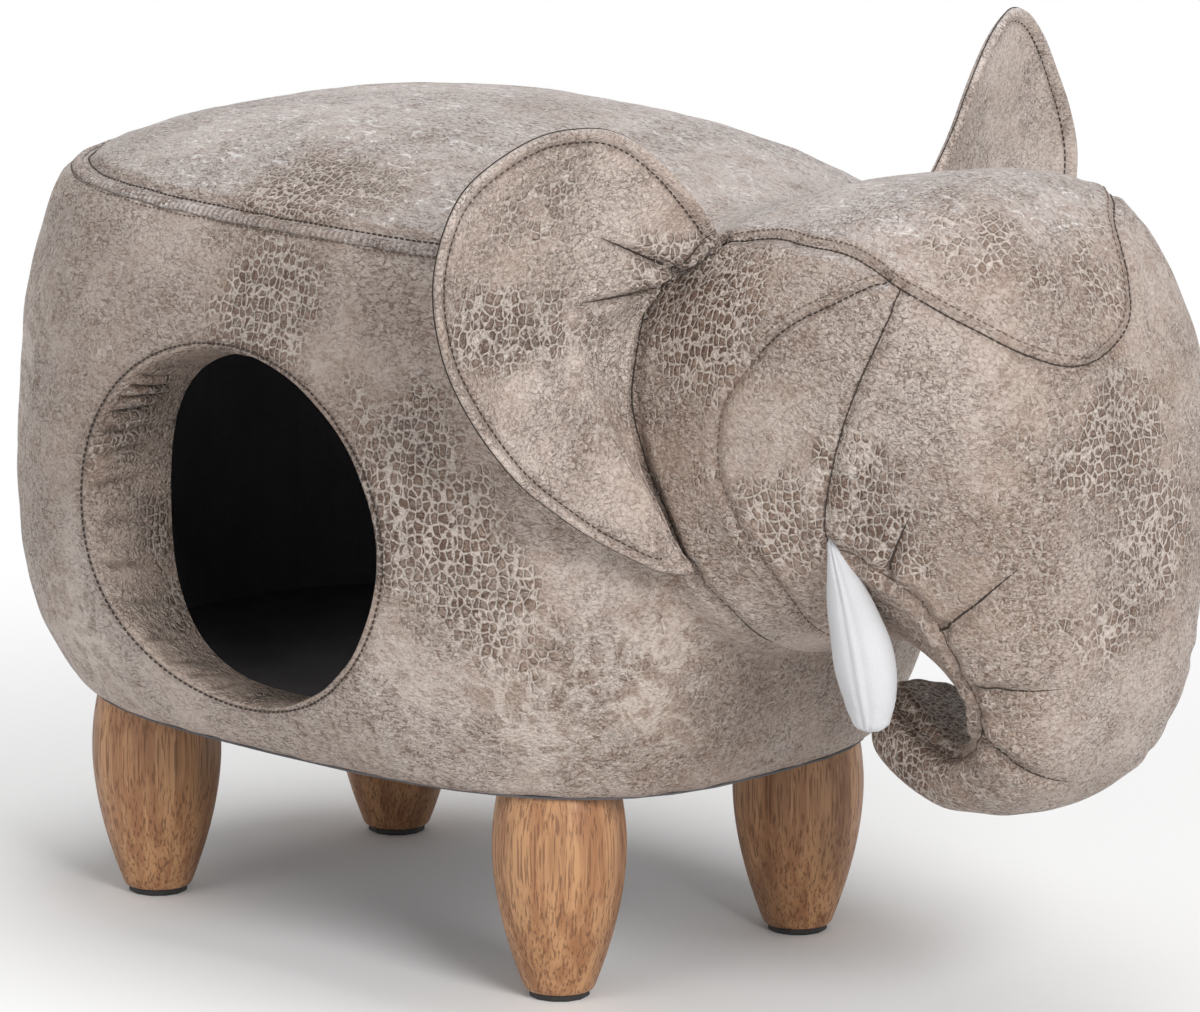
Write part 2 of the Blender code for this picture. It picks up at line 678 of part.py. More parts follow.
def ear_ring(side, share, offset):
    """A ring of the ear in the hinge's own frame, offset towards the front from its cupped middle surface."""
    sweep = math.radians(EAR_SWEEP_DEG)
    out = Vector((-math.cos(sweep), side * math.sin(sweep)))
    front = Vector((math.sin(sweep), side * math.cos(sweep)))
    middle = ear_place(*EAR_MIDDLE)
    ring = []
    for rim in ear_outline():
        at = middle + (rim - middle) * share
        cup = -EAR_CUP_DEPTH * math.sin(math.pi * at.x / (EAR_CUP_SHARE * EAR_WIDTH)) + offset
        spot = out * at.x + front * cup
        ring.append((spot.x, spot.y, at.y))
        if share == 0:
            break
    return ring


def ear_panel(name, side, face):
    """One leather panel: face +1 is the front, -1 the back."""
    outer = [ear_ring(side, share, face * ear_half_thickness(share)) for share in (0,) + PANEL_SHARES]
    inner = []
    for share in (0,) + PANEL_SHARES:
        depth = max(ear_half_thickness(share) - COVER_THICKNESS, CLEARANCE / 2)
        if share == 1:
            depth = CLEARANCE / 2
        inner.append(ear_ring(side, share, face * depth))
    return skin(name, outer + inner[::-1], wrap=True)


def ear_core(name, side):
    def depth(share):
        return ear_half_thickness(share) - COVER_THICKNESS - CLEARANCE
    front = [ear_ring(side, share, depth(share)) for share in (0,) + CORE_SHARES]
    back = [ear_ring(side, share, -depth(share)) for share in (0,) + CORE_SHARES]
    return skin(name, front + back[::-1])


def ear_root_offset():
    """How far out the hinge lies, so that the ear's root rests beside the neck."""
    neck = max(section[2] for section in HEAD_SECTIONS) * BODY_HALF[1]
    return neck + EAR_RIM_THICKNESS / 2 + EAR_ROOT_SEAT


def make_ears():
    for side, label in ((-1, "right"), (1, "left")):
        hinge = empty(f"ear_hinge_{label}", (BODY_FRONT - EAR_ROOT_BACK, side * ear_root_offset(), 0), CENTRE)
        for face, word in ((1, "front"), (-1, "back")):
            name = f"ear_{word}_panel_{label}"
            place(name, ear_panel(name, side, face), LEATHER, parent=hinge)
        name = f"ear_core_{label}"
        place(name, ear_core(name, side), FOAM, parent=hinge)


# Tusks
def tusk_radius(share):
    return TUSK_RADIUS * math.sin(math.pi * share ** TUSK_TAPER) ** TUSK_FULLNESS


def tusk_mesh(name, side):
    """A stuffed teardrop, pointed at its sewn top and rounded at its tip."""
    top = Vector((BODY_FRONT + TUSK_FORWARD, side * TUSK_SPREAD * BODY_HALF[1], UNDERSIDE + TUSK_RISE))
    rings = [[tuple(top)]]
    for share in TUSK_SHARES:
        middle = top + Vector((TUSK_LEAN * share, 0, -TUSK_LENGTH * share))
        ring = []
        for i in range(TUSK_SEGMENTS):
            angle = 2 * math.pi * i / TUSK_SEGMENTS
            radius = tusk_radius(share)
            spoke = Vector((math.cos(angle), TUSK_FLATNESS * math.sin(angle), 0)) * radius
            ring.append(tuple(middle + spoke))
        rings.append(ring)
    rings.append([tuple(top + Vector((TUSK_LEAN, 0, -TUSK_LENGTH)))])
    return skin(name, rings)


def make_tusks(head_envelope):
    for side, label in ((-1, "right"), (1, "left")):
        tusk = place(f"tusk_{label}", tusk_mesh(f"tusk_{label}", side), TUSK_CLOTH)
        cut(tusk, head_envelope)


def main():
    make_legs()
    make_boards()
    door = make_doorway_cutter()
    make_wall(door)
    make_wall_foam(door)
    make_seat()
    make_side_cover(door)
    make_collar()
    make_head(make_body_envelope())
    make_ears()
    make_tusks(make_head_envelope())


main()
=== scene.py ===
"""Elephant pouf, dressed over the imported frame.

Metres, +X towards the trunk, +Y to the animal's left, +Z up.
"""
import json
import math

import bmesh
import bpy
import numpy as np
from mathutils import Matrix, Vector, noise
from mathutils.bvhtree import BVHTree
from mathutils.kdtree import KDTree

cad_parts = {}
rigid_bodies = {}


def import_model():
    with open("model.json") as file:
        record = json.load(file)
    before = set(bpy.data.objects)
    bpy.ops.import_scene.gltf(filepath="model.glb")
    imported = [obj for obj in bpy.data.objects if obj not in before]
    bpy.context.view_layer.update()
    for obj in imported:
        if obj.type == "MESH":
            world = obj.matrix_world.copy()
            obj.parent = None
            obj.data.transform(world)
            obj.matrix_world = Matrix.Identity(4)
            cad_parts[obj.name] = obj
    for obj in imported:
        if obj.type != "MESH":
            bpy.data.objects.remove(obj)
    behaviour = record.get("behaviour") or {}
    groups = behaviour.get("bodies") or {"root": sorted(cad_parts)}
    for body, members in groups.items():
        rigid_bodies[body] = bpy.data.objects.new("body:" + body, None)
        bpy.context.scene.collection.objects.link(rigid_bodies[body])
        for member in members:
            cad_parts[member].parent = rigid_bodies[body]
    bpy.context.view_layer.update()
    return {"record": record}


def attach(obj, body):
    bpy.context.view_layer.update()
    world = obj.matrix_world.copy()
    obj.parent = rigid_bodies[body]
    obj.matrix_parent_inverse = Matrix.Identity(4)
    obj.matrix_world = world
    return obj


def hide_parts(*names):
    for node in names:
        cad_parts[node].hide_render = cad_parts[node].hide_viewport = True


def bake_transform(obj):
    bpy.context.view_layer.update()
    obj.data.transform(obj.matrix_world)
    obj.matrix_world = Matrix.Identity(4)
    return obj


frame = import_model()

# The centre of the four legs lies this far behind the frame's origin
LEGS_X = -0.0985
SIDES = ((-1, "right"), (1, "left"))

# Upholstered body
UNDERSIDE = 0.1048
SEAM_LEVEL = 0.3678
BULGE_LEVEL = 0.2098
BODY_HALF = (0.235, 0.172)
PLAN_POWER = 2.9
BASE_INSET = 0.030
BASE_ROUNDING = 0.005
SEAM_INSET = 0.021
BELLY_POWER = 2.5
SHOULDER_POWER = 2.75
SEAT_CROWN = 0.037
CROWN_POWER = 3.4
SEAT_DOME = 0.007
SEAT_DOME_REACH = 0.10

# Head and trunk sections: inner (x, z), outer (x, z), half width; from the body's front and underside
HEAD_SECTIONS = (
    ((-0.065, 0.055), (-0.065, 0.268), 0.100),
    ((0.010, 0.071), (0.050, 0.302), 0.106),
    ((0.053, 0.081), (0.138, 0.304), 0.098),
    ((0.078, 0.088), (0.187, 0.240), 0.089),
    ((0.098, 0.090), (0.197, 0.148), 0.076),
    ((0.117, 0.081), (0.194, 0.070), 0.060),
    ((0.129, 0.063), (0.160, 0.021), 0.049),
    ((0.114, 0.047), (0.103, 0.010), 0.042),
    ((0.075, 0.057), (0.056, 0.025), 0.031),
    ((0.056, 0.061), (0.044, 0.042), 0.016),
)
HEAD_POWER = 2.6
TRUNK_TIP = (-0.010, 0.002)

# Doorway in the right flank
DOOR_HALF = (0.105, 0.090)
DOOR_LEVEL = UNDERSIDE + 0.116
DOOR_LIP = 0.012
DOOR_DROP = 0.005
DOOR_SQUARENESS = 0.6
CABIN_HALF = (0.1885, 0.1247)

# Ears: hinge line at the sewn root, swept back from straight out
EAR_HINGE = (0.226, 0.1054)
EAR_SWEEP = math.radians(72)

# Meshes
SKIN_VOXEL = 0.0025
PATH_STEP = 0.0012
RIGHT_FLANK_Y = -0.10

# Where the skin is evened out: the joint of head and body, and the shoulder beside the seat
JOINT_SPAN = (0.03, 0.22)
JOINT_REACH = 0.034
JOINT_TOP = (0.345, 0.375)
SHOULDER_LEVEL = 0.371
SHOULDER_REACH = 0.013
SHOULDER_END = (0.05, 0.09)


def at_legs(point):
    """A point measured from the centre of the legs, in the frame."""
    return Vector((point[0] + LEGS_X, point[1], point[2]))


# Mesh helpers
def object_from(name, verts, faces, smooth=True):
    mesh = bpy.data.meshes.new(name)
    mesh.from_pydata([tuple(v) for v in verts], [], faces)
    mesh.validate()
    if smooth:
        mesh.shade_smooth()
    made = bpy.data.objects.new(name, mesh)
    bpy.context.scene.collection.objects.link(made)
    return made


def face_outwards(obj):
    work = bmesh.new()
    work.from_mesh(obj.data)
    bmesh.ops.remove_doubles(work, verts=work.verts, dist=0.000001)
    bmesh.ops.recalc_face_normals(work, faces=work.faces)
    work.to_mesh(obj.data)
    work.free()
    obj.data.shade_smooth()


def loft(rings, first_pole=None, last_pole=None, closed=True):
    """Vertices and faces over rings of equal length, with a pole at either end where one is given."""
    count = len(rings[0])
    verts = [tuple(p) for ring in rings for p in ring]
    faces = []
    span = count if closed else count - 1
    for i in range(len(rings) - 1):
        for j in range(span):
            k = (j + 1) % count
            faces.append((i * count + j, i * count + k, (i + 1) * count + k, (i + 1) * count + j))
    for pole, base in ((first_pole, 0), (last_pole, (len(rings) - 1) * count)):
        if pole is None:
            continue
        verts.append(tuple(pole))
        for j in range(span):
            faces.append((base + j, base + (j + 1) % count, len(verts) - 1))
    return verts, faces


def baked(obj):
    """The object's evaluated mesh in place of its modifiers."""
    graph = bpy.context.evaluated_depsgraph_get()
    mesh = bpy.data.meshes.new_from_object(obj.evaluated_get(graph))
    obj.modifiers.clear()
    obj.data = mesh
    return obj


def coords(mesh):
    out = np.empty(len(mesh.vertices) * 3)
    mesh.vertices.foreach_get("co", out)
    return out.reshape(-1, 3)


def set_coords(mesh, points):
    mesh.vertices.foreach_set("co", points.ravel())
    mesh.update()


def normals(mesh):
    out = np.empty(len(mesh.vertices) * 3)
    mesh.vertex_normals.foreach_get("vector", out)
    return out.reshape(-1, 3)


def set_value(mesh, name, values):
    layer = mesh.attributes.new(name, "FLOAT", "POINT")
    layer.data.foreach_set("value", np.ascontiguousarray(values, dtype=np.float32))


def relax(mesh, rounds, weight=None, share=0.5):
    """Evens out the points with their neighbours; weight limits it to some of them."""
    edges = np.empty(len(mesh.edges) * 2, dtype=np.int64)
    mesh.edges.foreach_get("vertices", edges)
    a, b = edges[0::2], edges[1::2]
    points = coords(mesh)
    count = np.bincount(edges, minlength=len(points))[:, None]
    pull = share if weight is None else share * weight[:, None]
    for _ in range(rounds):
        total = np.zeros_like(points)
        for axis in range(3):
            total[:, axis] += np.bincount(a, points[b, axis], len(points))
            total[:, axis] += np.bincount(b, points[a, axis], len(points))
        points = points + (total / count - points) * pull
    set_coords(mesh, points)


def wobble(points, scale, seed):
    """Smooth noise from -1 to 1 at each point."""
    shift = Vector((seed * 7.3, seed * 3.1, seed * 5.7))
    return np.array([noise.noise(Vector(p) * scale + shift) for p in points])


def point_tree(points):
    """A search tree for the nearest of these points."""
    tree = KDTree(len(points))
    for i, spot in enumerate(points):
        tree.insert(spot, i)
    tree.balance()
    return tree


def surface_of(mesh):
    """A search tree for the nearest spot on a mesh."""
    return BVHTree.FromPolygons([tuple(p) for p in coords(mesh)], [tuple(f.vertices) for f in mesh.polygons])


def bell(value, width):
    """1 at nothing, falling smoothly to almost 0 at twice the width."""
    return np.exp(-(value / width) ** 2)


def nearness(points, line, width):
    """1 on a line of points, falling to 0 beside it."""
    tree = point_tree(line)
    return bell(np.array([tree.find(p)[2] for p in points]), width)


def smooth_step(low, high, value):
    t = np.clip((value - low) / (high - low), 0, 1)
    return t * t * (3 - 2 * t)


# Form of the body and head
def power(value, exponent):
    return math.copysign(abs(value) ** exponent, value)


def plan_point(half, angle):
    exponent = 2 / PLAN_POWER
    return half[0] * power(math.cos(angle), exponent), half[1] * power(math.sin(angle), exponent)


def body_half(level, inside=0.0):
    if level < BULGE_LEVEL:
        inset = BASE_INSET * ((BULGE_LEVEL - level) / (BULGE_LEVEL - UNDERSIDE)) ** BELLY_POWER
    else:
        inset = SEAM_INSET * ((level - BULGE_LEVEL) / (SEAM_LEVEL - BULGE_LEVEL)) ** SHOULDER_POWER
    return BODY_HALF[0] - inset - inside, BODY_HALF[1] - inset - inside


def body_ring(level, inside=0.0, count=160, z=None):
    half = body_half(level, inside)
    angles = [2 * math.pi * i / count for i in range(count)]
    height = level if z is None else z
    return [at_legs((*plan_point(half, a), height)) for a in angles]


def crown_height(share):
    return SEAM_LEVEL + SEAT_CROWN * (1 - share ** CROWN_POWER)


def crown_ring(share, count=160):
    half = body_half(SEAM_LEVEL)
    ring = []
    for i in range(count):
        x, y = plan_point(half, 2 * math.pi * i / count)
        away = (x * x + y * y) * share * share / SEAT_DOME_REACH ** 2
        z = crown_height(share) + SEAT_DOME * (math.exp(-away) - 0.25)
        ring.append(at_legs((x * share, y * share, z)))
    return ring


def right_side(half, x):
    """The y of a plan outline's right side at this length."""
    return -half[1] * (1 - abs(x / half[0]) ** PLAN_POWER) ** (1 / PLAN_POWER)


def flank(x, z):
    """The right flank's y at this place, measured from the centre of the legs."""
    return right_side(body_half(z), x)


def spline(points, position):
    """A smooth curve through the points, read at a position counted in points."""
    index = min(int(position), len(points) - 2)
    t = position - index
    around = [points[min(max(index + k, 0), len(points) - 1)] for k in (-1, 0, 1, 2)]
    a, b, c, d = [Vector(point) for point in around]
    square = 2 * a - 5 * b + 4 * c - d
    cube = 3 * b - 3 * c + d - a
    return 0.5 * (2 * b + (c - a) * t + square * t ** 2 + cube * t ** 3)


def head_point(position, degrees):
    """A point of the head: degrees are counted from its top and front line, to the left where positive."""
    inner = spline([section[0] for section in HEAD_SECTIONS], position)
    outer = spline([section[1] for section in HEAD_SECTIONS], position)
    width = spline([(section[2], 0) for section in HEAD_SECTIONS], position).x
    middle = (inner + outer) / 2
    reach = (outer - inner) / 2
    exponent = 2 / HEAD_POWER
    angle = math.radians(degrees)
    spot = middle + reach * power(math.cos(angle), exponent)
    return at_legs((spot.x + BODY_HALF[0], width * power(math.sin(angle), exponent), spot.y + UNDERSIDE))


def head_ring(position, count=96):
    return [head_point(position, 360 * i / count) for i in range(count)]


def body_solid():
    base_edge = ((0.0, 0.004), (0.0015, 0.0015))
    rings = [body_ring(UNDERSIDE, inside, z=UNDERSIDE + rise) for rise, inside in base_edge]
    wall_steps, crown_steps = 40, 30
    wall_bottom = UNDERSIDE + BASE_ROUNDING
    for i in range(wall_steps + 1):
        rings.append(body_ring(wall_bottom + (SEAM_LEVEL - wall_bottom) * i / wall_steps))
    for i in range(1, crown_steps):
        rings.append(crown_ring((1 - i / crown_steps) ** 0.7))
    return loft(rings, at_legs((0, 0, UNDERSIDE)), at_legs((0, 0, crown_height(0) + 0.75 * SEAT_DOME)))


def head_solid():
    last = len(HEAD_SECTIONS) - 1
    rings = [head_ring(last * i / 150) for i in range(151)]
    neck = sum(rings[0], Vector()) / len(rings[0])
    tip = sum(rings[-1], Vector()) / len(rings[-1]) + Vector((TRUNK_TIP[0], 0, TRUNK_TIP[1]))
    return loft(rings, neck, tip)


# Paths of seams over the skin
def along(points, step=PATH_STEP):
    """Even points on a polyline."""
    points = np.array([tuple(p) for p in points])
    length = np.concatenate(([0], np.cumsum(np.linalg.norm(np.diff(points, axis=0), axis=1))))
    count = max(int(length[-1] / step), 2)
    marks = np.linspace(0, length[-1], count + 1)
    return np.stack([np.interp(marks, length, points[:, axis]) for axis in range(3)], axis=1)


def head_path(keys, side):
    """A path over the head through (section, degrees) keys; side -1 is the right, +1 the left."""
    count = (len(keys) - 1) * 12
    read = [spline(keys, (len(keys) - 1) * i / count) for i in range(count + 1)]
    return [head_point(position, side * degrees) for position, degrees in read]


def settle(path, tree, rounds=30):
    """The path laid smoothly on the skin, with the skin's normals beside it."""
    spots = np.array([tree.find_nearest(Vector(point))[0] for point in path])
    for _ in range(rounds):
        spots[1:-1] = (spots[:-2] + 2 * spots[1:-1] + spots[2:]) / 4
    laid = [tree.find_nearest(Vector(point))[:2] for point in spots]
    spots = np.array([spot for spot, _ in laid])
    ups = np.array([up for _, up in laid])
    for _ in range(8):
        ups[1:-1] = (ups[:-2] + 2 * ups[1:-1] + ups[2:]) / 4
    ups /= np.linalg.norm(ups, axis=1)[:, None]
    return spots, ups


def sideways(spots, ups):
    """The direction over the skin to a path's left, at each of its points."""
    across = np.cross(ups, np.gradient(spots, axis=0))
    return across / np.linalg.norm(across, axis=1)[:, None]


def beside(spots, ups, offset):
    """The same path moved sideways over the skin."""
    return spots + sideways(spots, ups) * offset


# Seams of the head, as (section, degrees from the top and front line); -1 is the right side, 1 the left
CROWN_SEAM = {
    -1: ((0.60, 36), (0.85, 37), (1.15, 42), (1.47, 46), (1.76, 51), (1.96, 53), (2.33, 50), (2.71, 39),
         (2.92, 28), (3.02, 20), (3.04, 12)),
    1: ((0.60, 36), (0.85, 37), (1.15, 39), (1.45, 38), (1.74, 32), (2.02, 23), (2.24, 13), (2.36, 10),
        (2.58, 7), (2.84, 3), (3.00, -3), (3.04, -12)),
}
CHEEK_SEAM = {
    -1: ((1.96, 53), (2.01, 64), (2.01, 75), (2.00, 85), (2.03, 93), (2.09, 102), (2.22, 108)),
    1: ((1.90, 27), (1.97, 46), (2.01, 64), (2.01, 75), (2.00, 85), (2.03, 93), (2.09, 102), (2.22, 108)),
}
NAPE_SEAM = ((1.83, 52), (1.55, 62), (1.29, 68), (1.12, 77), (0.98, 86), (1.02, 93), (1.16, 100), (1.43, 113),
             (1.73, 129), (1.90, 154))
JAW_SEAM = ((2.22, 108), (2.76, 106), (3.13, 104), (3.56, 100), (4.09, 95), (4.60, 97), (5.05, 93),
            (5.50, 96), (5.94, 106), (6.75, 124), (7.54, 130), (8.30, 134), (9.00, 138))
TRUNK_DARTS = (
    ((3.12, 103), (3.06, 97), (3.00, 89)),
    ((4.08, 95), (3.98, 70), (3.87, 46)),
    ((4.79, 92), (4.77, 62), (4.75, 34)),
    ((5.50, 96), (5.56, 60), (5.62, 12)),
)
NECK_SEAM = ((0.84, 116), (0.95, 126), (1.09, 138), (1.13, 160), (1.13, 180))
EAR_ROOT_SEAM = ((0.59, 34), (0.49, 42), (0.36, 45), (0.34, 52), (0.39, 64), (0.42, 81), (0.53, 91),
                 (0.67, 100), (0.76, 110), (0.84, 116))
# The first points of the nape's path, where it is sewn in two rows
NAPE_DOUBLE_POINTS = 62
# The seat seam's share of the seat's size at the rear, and how much more at the front
SEAT_SEAM_REAR = 0.905
SEAT_SEAM_GAIN = 0.070
SEAT_SEAM_START = (0.60, 36)

# Each seam's pull on the skin: depth, width, fullness beside it, whether it fades along its way, pucker
SEAM_FORMS = {
    "seat": (0.0016, 0.0032, 0.0008, False, 0.0),
    "crown": (0.0012, 0.0028, 0.0008, False, 0.0),
    "cheek": (0.0014, 0.0030, 0.0008, False, 0.0),
    "nape": (0.0014, 0.0027, 0.0008, False, 0.0),
    "jaw": (0.0020, 0.0032, 0.0016, False, 0.0010),
    "darts": (0.0030, 0.0032, 0.0018, True, 0.0),
    "door": (0.0, 0.0030, 0.0006, False, 0.0),
    "ear_root": (0.0022, 0.0036, 0.0008, False, 0.0),
    "neck": (0.0022, 0.0036, 0.0008, False, 0.0),
}


def seat_seam_points():
    """The seat panel's edge, from the right ear's root round the rear to the left ear's."""
    half = body_half(SEAM_LEVEL)
    section, degrees = SEAT_SEAM_START
    points = [head_point(section, -degrees)]
    for i in range(101):
        angle = math.radians(-30 - 3 * i)
        share = SEAT_SEAM_REAR + SEAT_SEAM_GAIN * abs(i / 50 - 1) ** 0.7
        x, y = plan_point(half, angle)
        points.append(at_legs((x * share, y * share, crown_height(share))))
    return points + [head_point(section, degrees)]


def door_seam_points(count=240):
    points = []
    for i in range(count + 1):
        angle = 2 * math.pi * i / count
        x = DOOR_HALF[0] * math.cos(angle)
        z = DOOR_LEVEL + DOOR_HALF[1] * math.sin(angle)
        points.append(at_legs((x, flank(x, z), z)))
    return points


# Skin of the body, head and trunk
def make_skin():
    verts, faces = body_solid()
    more, head_faces = head_solid()
    body_tree = BVHTree.FromPolygons(verts, faces)
    head_tree = BVHTree.FromPolygons(more, head_faces)
    faces = faces + [tuple(i + len(verts) for i in face) for face in head_faces]
    skin = object_from("body_and_head_leather", verts + more, faces)
    face_outwards(skin)
    remesh = skin.modifiers.new("even_skin", "REMESH")
    remesh.mode = "VOXEL"
    remesh.voxel_size = SKIN_VOXEL
    remesh.use_smooth_shade = True
    baked(skin)
    relax(skin.data, 6)
    points = coords(skin.data)
    x, z = points[:, 0], points[:, 2]
    near_joint = np.zeros(len(points))
    for i in np.nonzero((x > JOINT_SPAN[0]) & (x < JOINT_SPAN[1]))[0]:
        spot = Vector(points[i])
        far = max(body_tree.find_nearest(spot)[3], head_tree.find_nearest(spot)[3])
        near_joint[i] = max(0.0, 1 - far / JOINT_REACH)
    shoulder = bell(z - SHOULDER_LEVEL, SHOULDER_REACH) * (1 - smooth_step(*SHOULDER_END, x))
    relax(skin.data, 25, shoulder)
    top = smooth_step(*JOINT_TOP, z)
    joint = smooth_step(0, 0.6, near_joint)
    relax(skin.data, 90, joint * top)
    relax(skin.data, 8, joint * (1 - top))
    return skin


def open_doorway(skin):
    """Removes the skin inside the doorway's seam and brings its edge onto the seam."""
    work = bmesh.new()
    work.from_mesh(skin.data)

    def inside(co):
        if co.y > RIGHT_FLANK_Y:
            return 2.0
        return math.hypot((co.x - LEGS_X) / DOOR_HALF[0], (co.z - DOOR_LEVEL) / DOOR_HALF[1])

    shares = {v: inside(v.co) for v in work.verts}
    gone = [f for f in work.faces if all(shares[v] < 1 for v in f.verts)]
    bmesh.ops.delete(work, geom=gone, context="FACES")
    above_base = UNDERSIDE + 0.004
    for v in work.verts:
        if v.is_boundary and v.co.z > above_base and v.co.y < RIGHT_FLANK_Y:
            share = shares[v]
            v.co.x = LEGS_X + (v.co.x - LEGS_X) / share
            v.co.z = DOOR_LEVEL + (v.co.z - DOOR_LEVEL) / share
            v.co.y = flank(v.co.x - LEGS_X, v.co.z)
    base_level = UNDERSIDE + 0.0008
    bottom = [f for f in work.faces if f.normal.z < -0.95 and f.calc_center_median().z < base_level]
    bmesh.ops.delete(work, geom=bottom, context="FACES")
    loose = [v for v in work.verts if not v.link_faces]
    bmesh.ops.delete(work, geom=loose, context="VERTS")
    work.to_mesh(skin.data)
    work.free()
    skin.data.shade_smooth()


def press_seams(mesh, rows):
    """Pulls the skin in along its seams, and keeps how near each point lies to one."""
    points = coords(mesh)
    ups = normals(mesh)
    move = np.zeros(len(points))
    shade = np.zeros(len(points))
    seams = [(along(path), form) for name, form in SEAM_FORMS.items() for path, _ in rows[name]]
    for number, (path, (depth, width, fullness, fades, pucker)) in enumerate(seams):
        reach = width * 5
        low = path.min(axis=0) - reach
        high = path.max(axis=0) + reach
        tree = point_tree(path)
        for i in np.nonzero(((points > low) & (points < high)).all(axis=1))[0]:
            _, index, away = tree.find(points[i])
            if away > reach:
                continue
            strength = 1 - (index / (len(path) - 1)) ** 1.5 if fades else 1.0
            fold = noise.noise(Vector((index * PATH_STEP * 160, number * 9.1, 0))) * pucker
            shift = (fullness + fold) * bell(away - 2.2 * width, 1.4 * width) - depth * bell(away, width)
            move[i] += shift * strength
            shade[i] = max(shade[i], strength * bell(away, 1.3 * width))
    set_coords(mesh, points + ups * move[:, None])
    return shade


# Node helpers
def add(tree, kind, sockets=None, **settings):
    """A node with its settings; sockets holds values, or other nodes' outputs to link."""
    made = tree.nodes.new(kind)
    for key, value in settings.items():
        setattr(made, key, value)
    for key, value in (sockets or {}).items():
        if isinstance(value, bpy.types.NodeSocket):
            tree.links.new(value, made.inputs[key])
        else:
            made.inputs[key].default_value = value
    return made


def new_group(name, inputs, outputs, kind="ShaderNodeTree"):
    """A node group with its (label, type, value) inputs and (label, type) outputs."""
    tree = bpy.data.node_groups.new(name, kind)
    for label, socket_type, value in inputs:
        socket = tree.interface.new_socket(label, in_out="INPUT", socket_type=f"NodeSocket{socket_type}")
        if value is not None:
            socket.default_value = value
    for label, socket_type in outputs:
        tree.interface.new_socket(label, in_out="OUTPUT", socket_type=f"NodeSocket{socket_type}")
    return tree, tree.nodes.new("NodeGroupInput").outputs, tree.nodes.new("NodeGroupOutput").inputs


# Stitches, laid along paths by Geometry Nodes
STITCH_PITCH = 0.0034
THREAD_LENGTH = 0.0024
THREAD_WIDTH = 0.0008
LONG_THREAD = {"length": 0.0027, "width": 0.0010}
SECOND_THREAD_WIDTH = 0.0007


def stitch_tree():
    """A thread at every step of a line, standing on the skin."""
    inputs = (("Geometry", "Geometry", None), ("Pitch", "Float", STITCH_PITCH),
              ("Thread Length", "Float", THREAD_LENGTH), ("Thread Width", "Float", THREAD_WIDTH),
              ("Thread", "Material", None))
    tree, given, out = new_group("stitch_row", inputs, (("Geometry", "Geometry"),), "GeometryNodeTree")
    curve = add(tree, "GeometryNodeMeshToCurve", {"Mesh": given["Geometry"]}).outputs["Curve"]
    even = add(tree, "GeometryNodeResampleCurve", {"Curve": curve, "Length": given["Pitch"]}, mode="LENGTH")
    tangent = add(tree, "GeometryNodeInputTangent").outputs["Tangent"]
    up = add(tree, "GeometryNodeInputNamedAttribute", {"Name": "skin_up"}, data_type="FLOAT_VECTOR")
    aim = add(tree, "FunctionNodeAlignRotationToVector", {"Vector": tangent}, axis="X")
    turn = {"Rotation": aim.outputs["Rotation"], "Vector": up.outputs["Attribute"]}
    stand = add(tree, "FunctionNodeAlignRotationToVector", turn, axis="Z", pivot_axis="X")
    thread = add(tree, "GeometryNodeMeshIcoSphere", {"Radius": 0.5, "Subdivisions": 2})
    width = given["Thread Width"]
    size = add(tree, "ShaderNodeCombineXYZ", {"X": given["Thread Length"], "Y": width, "Z": width})
    laid = add(tree, "GeometryNodeInstanceOnPoints", {
        "Points": even.outputs["Curve"], "Instance": thread.outputs["Mesh"],
        "Rotation": stand.outputs["Rotation"], "Scale": size.outputs["Vector"]})
    real = add(tree, "GeometryNodeRealizeInstances", {"Geometry": laid.outputs["Instances"]})
    finish = add(tree, "GeometryNodeSetMaterial",
                 {"Geometry": real.outputs["Geometry"], "Material": given["Thread"]})
    tree.links.new(finish.outputs["Geometry"], out["Geometry"])
    return tree


def make_stitches(name, tree, rows, thread, length=THREAD_LENGTH, width=THREAD_WIDTH):
    """One piece of stitches over rows of (points, normals)."""
    verts, edges, ups = [], [], []
    for spots, up in rows:
        start = len(verts)
        verts.extend(tuple(p) for p in spots)
        ups.extend(tuple(u) for u in up)
        edges.extend((i, i + 1) for i in range(start, len(verts) - 1))
    mesh = bpy.data.meshes.new(name)
    mesh.from_pydata(verts, edges, [])
    layer = mesh.attributes.new("skin_up", "FLOAT_VECTOR", "POINT")
    layer.data.foreach_set("vector", np.array(ups, dtype=np.float32).ravel())
    made = bpy.data.objects.new(name, mesh)
    bpy.context.scene.collection.objects.link(made)
    step = made.modifiers.new("stitches", "NODES")
    step.node_group = tree
    values = {"Pitch": STITCH_PITCH, "Thread Length": length, "Thread Width": width, "Thread": thread}
    for item in tree.interface.items_tree:
        if item.in_out == "INPUT" and item.name in values:
            step[item.identifier] = values[item.name]
    baked(made)
    made.data.shade_smooth()
    return made


def make_gap_lines(name, rows, radius, sides=6, tapered=False):
    """Thin dark tubes along rows of (points, normals): painted shade in a seam's gap or a crease."""
    verts, faces = [], []
    for spots, ups in rows:
        start = len(verts)
        for i, (spot, up, side) in enumerate(zip(spots, ups, sideways(spots, ups))):
            width = radius * (1 - 0.85 * (i / len(spots)) ** 2) if tapered else radius
            for k in range(sides):
                angle = 2 * math.pi * k / sides
                verts.append(tuple(spot + (side * math.cos(angle) + up * math.sin(angle)) * width))
        for i in range(len(spots) - 1):
            for k in range(sides):
                a = start + i * sides + k
                b = start + i * sides + (k + 1) % sides
                faces.append((a, b, b + sides, a + sides))
        faces.append(tuple(range(start + sides - 1, start - 1, -1)))
        faces.append(tuple(range(len(verts) - sides, len(verts))))
    made = object_from(name, verts, faces)
    face_outwards(made)
    return made
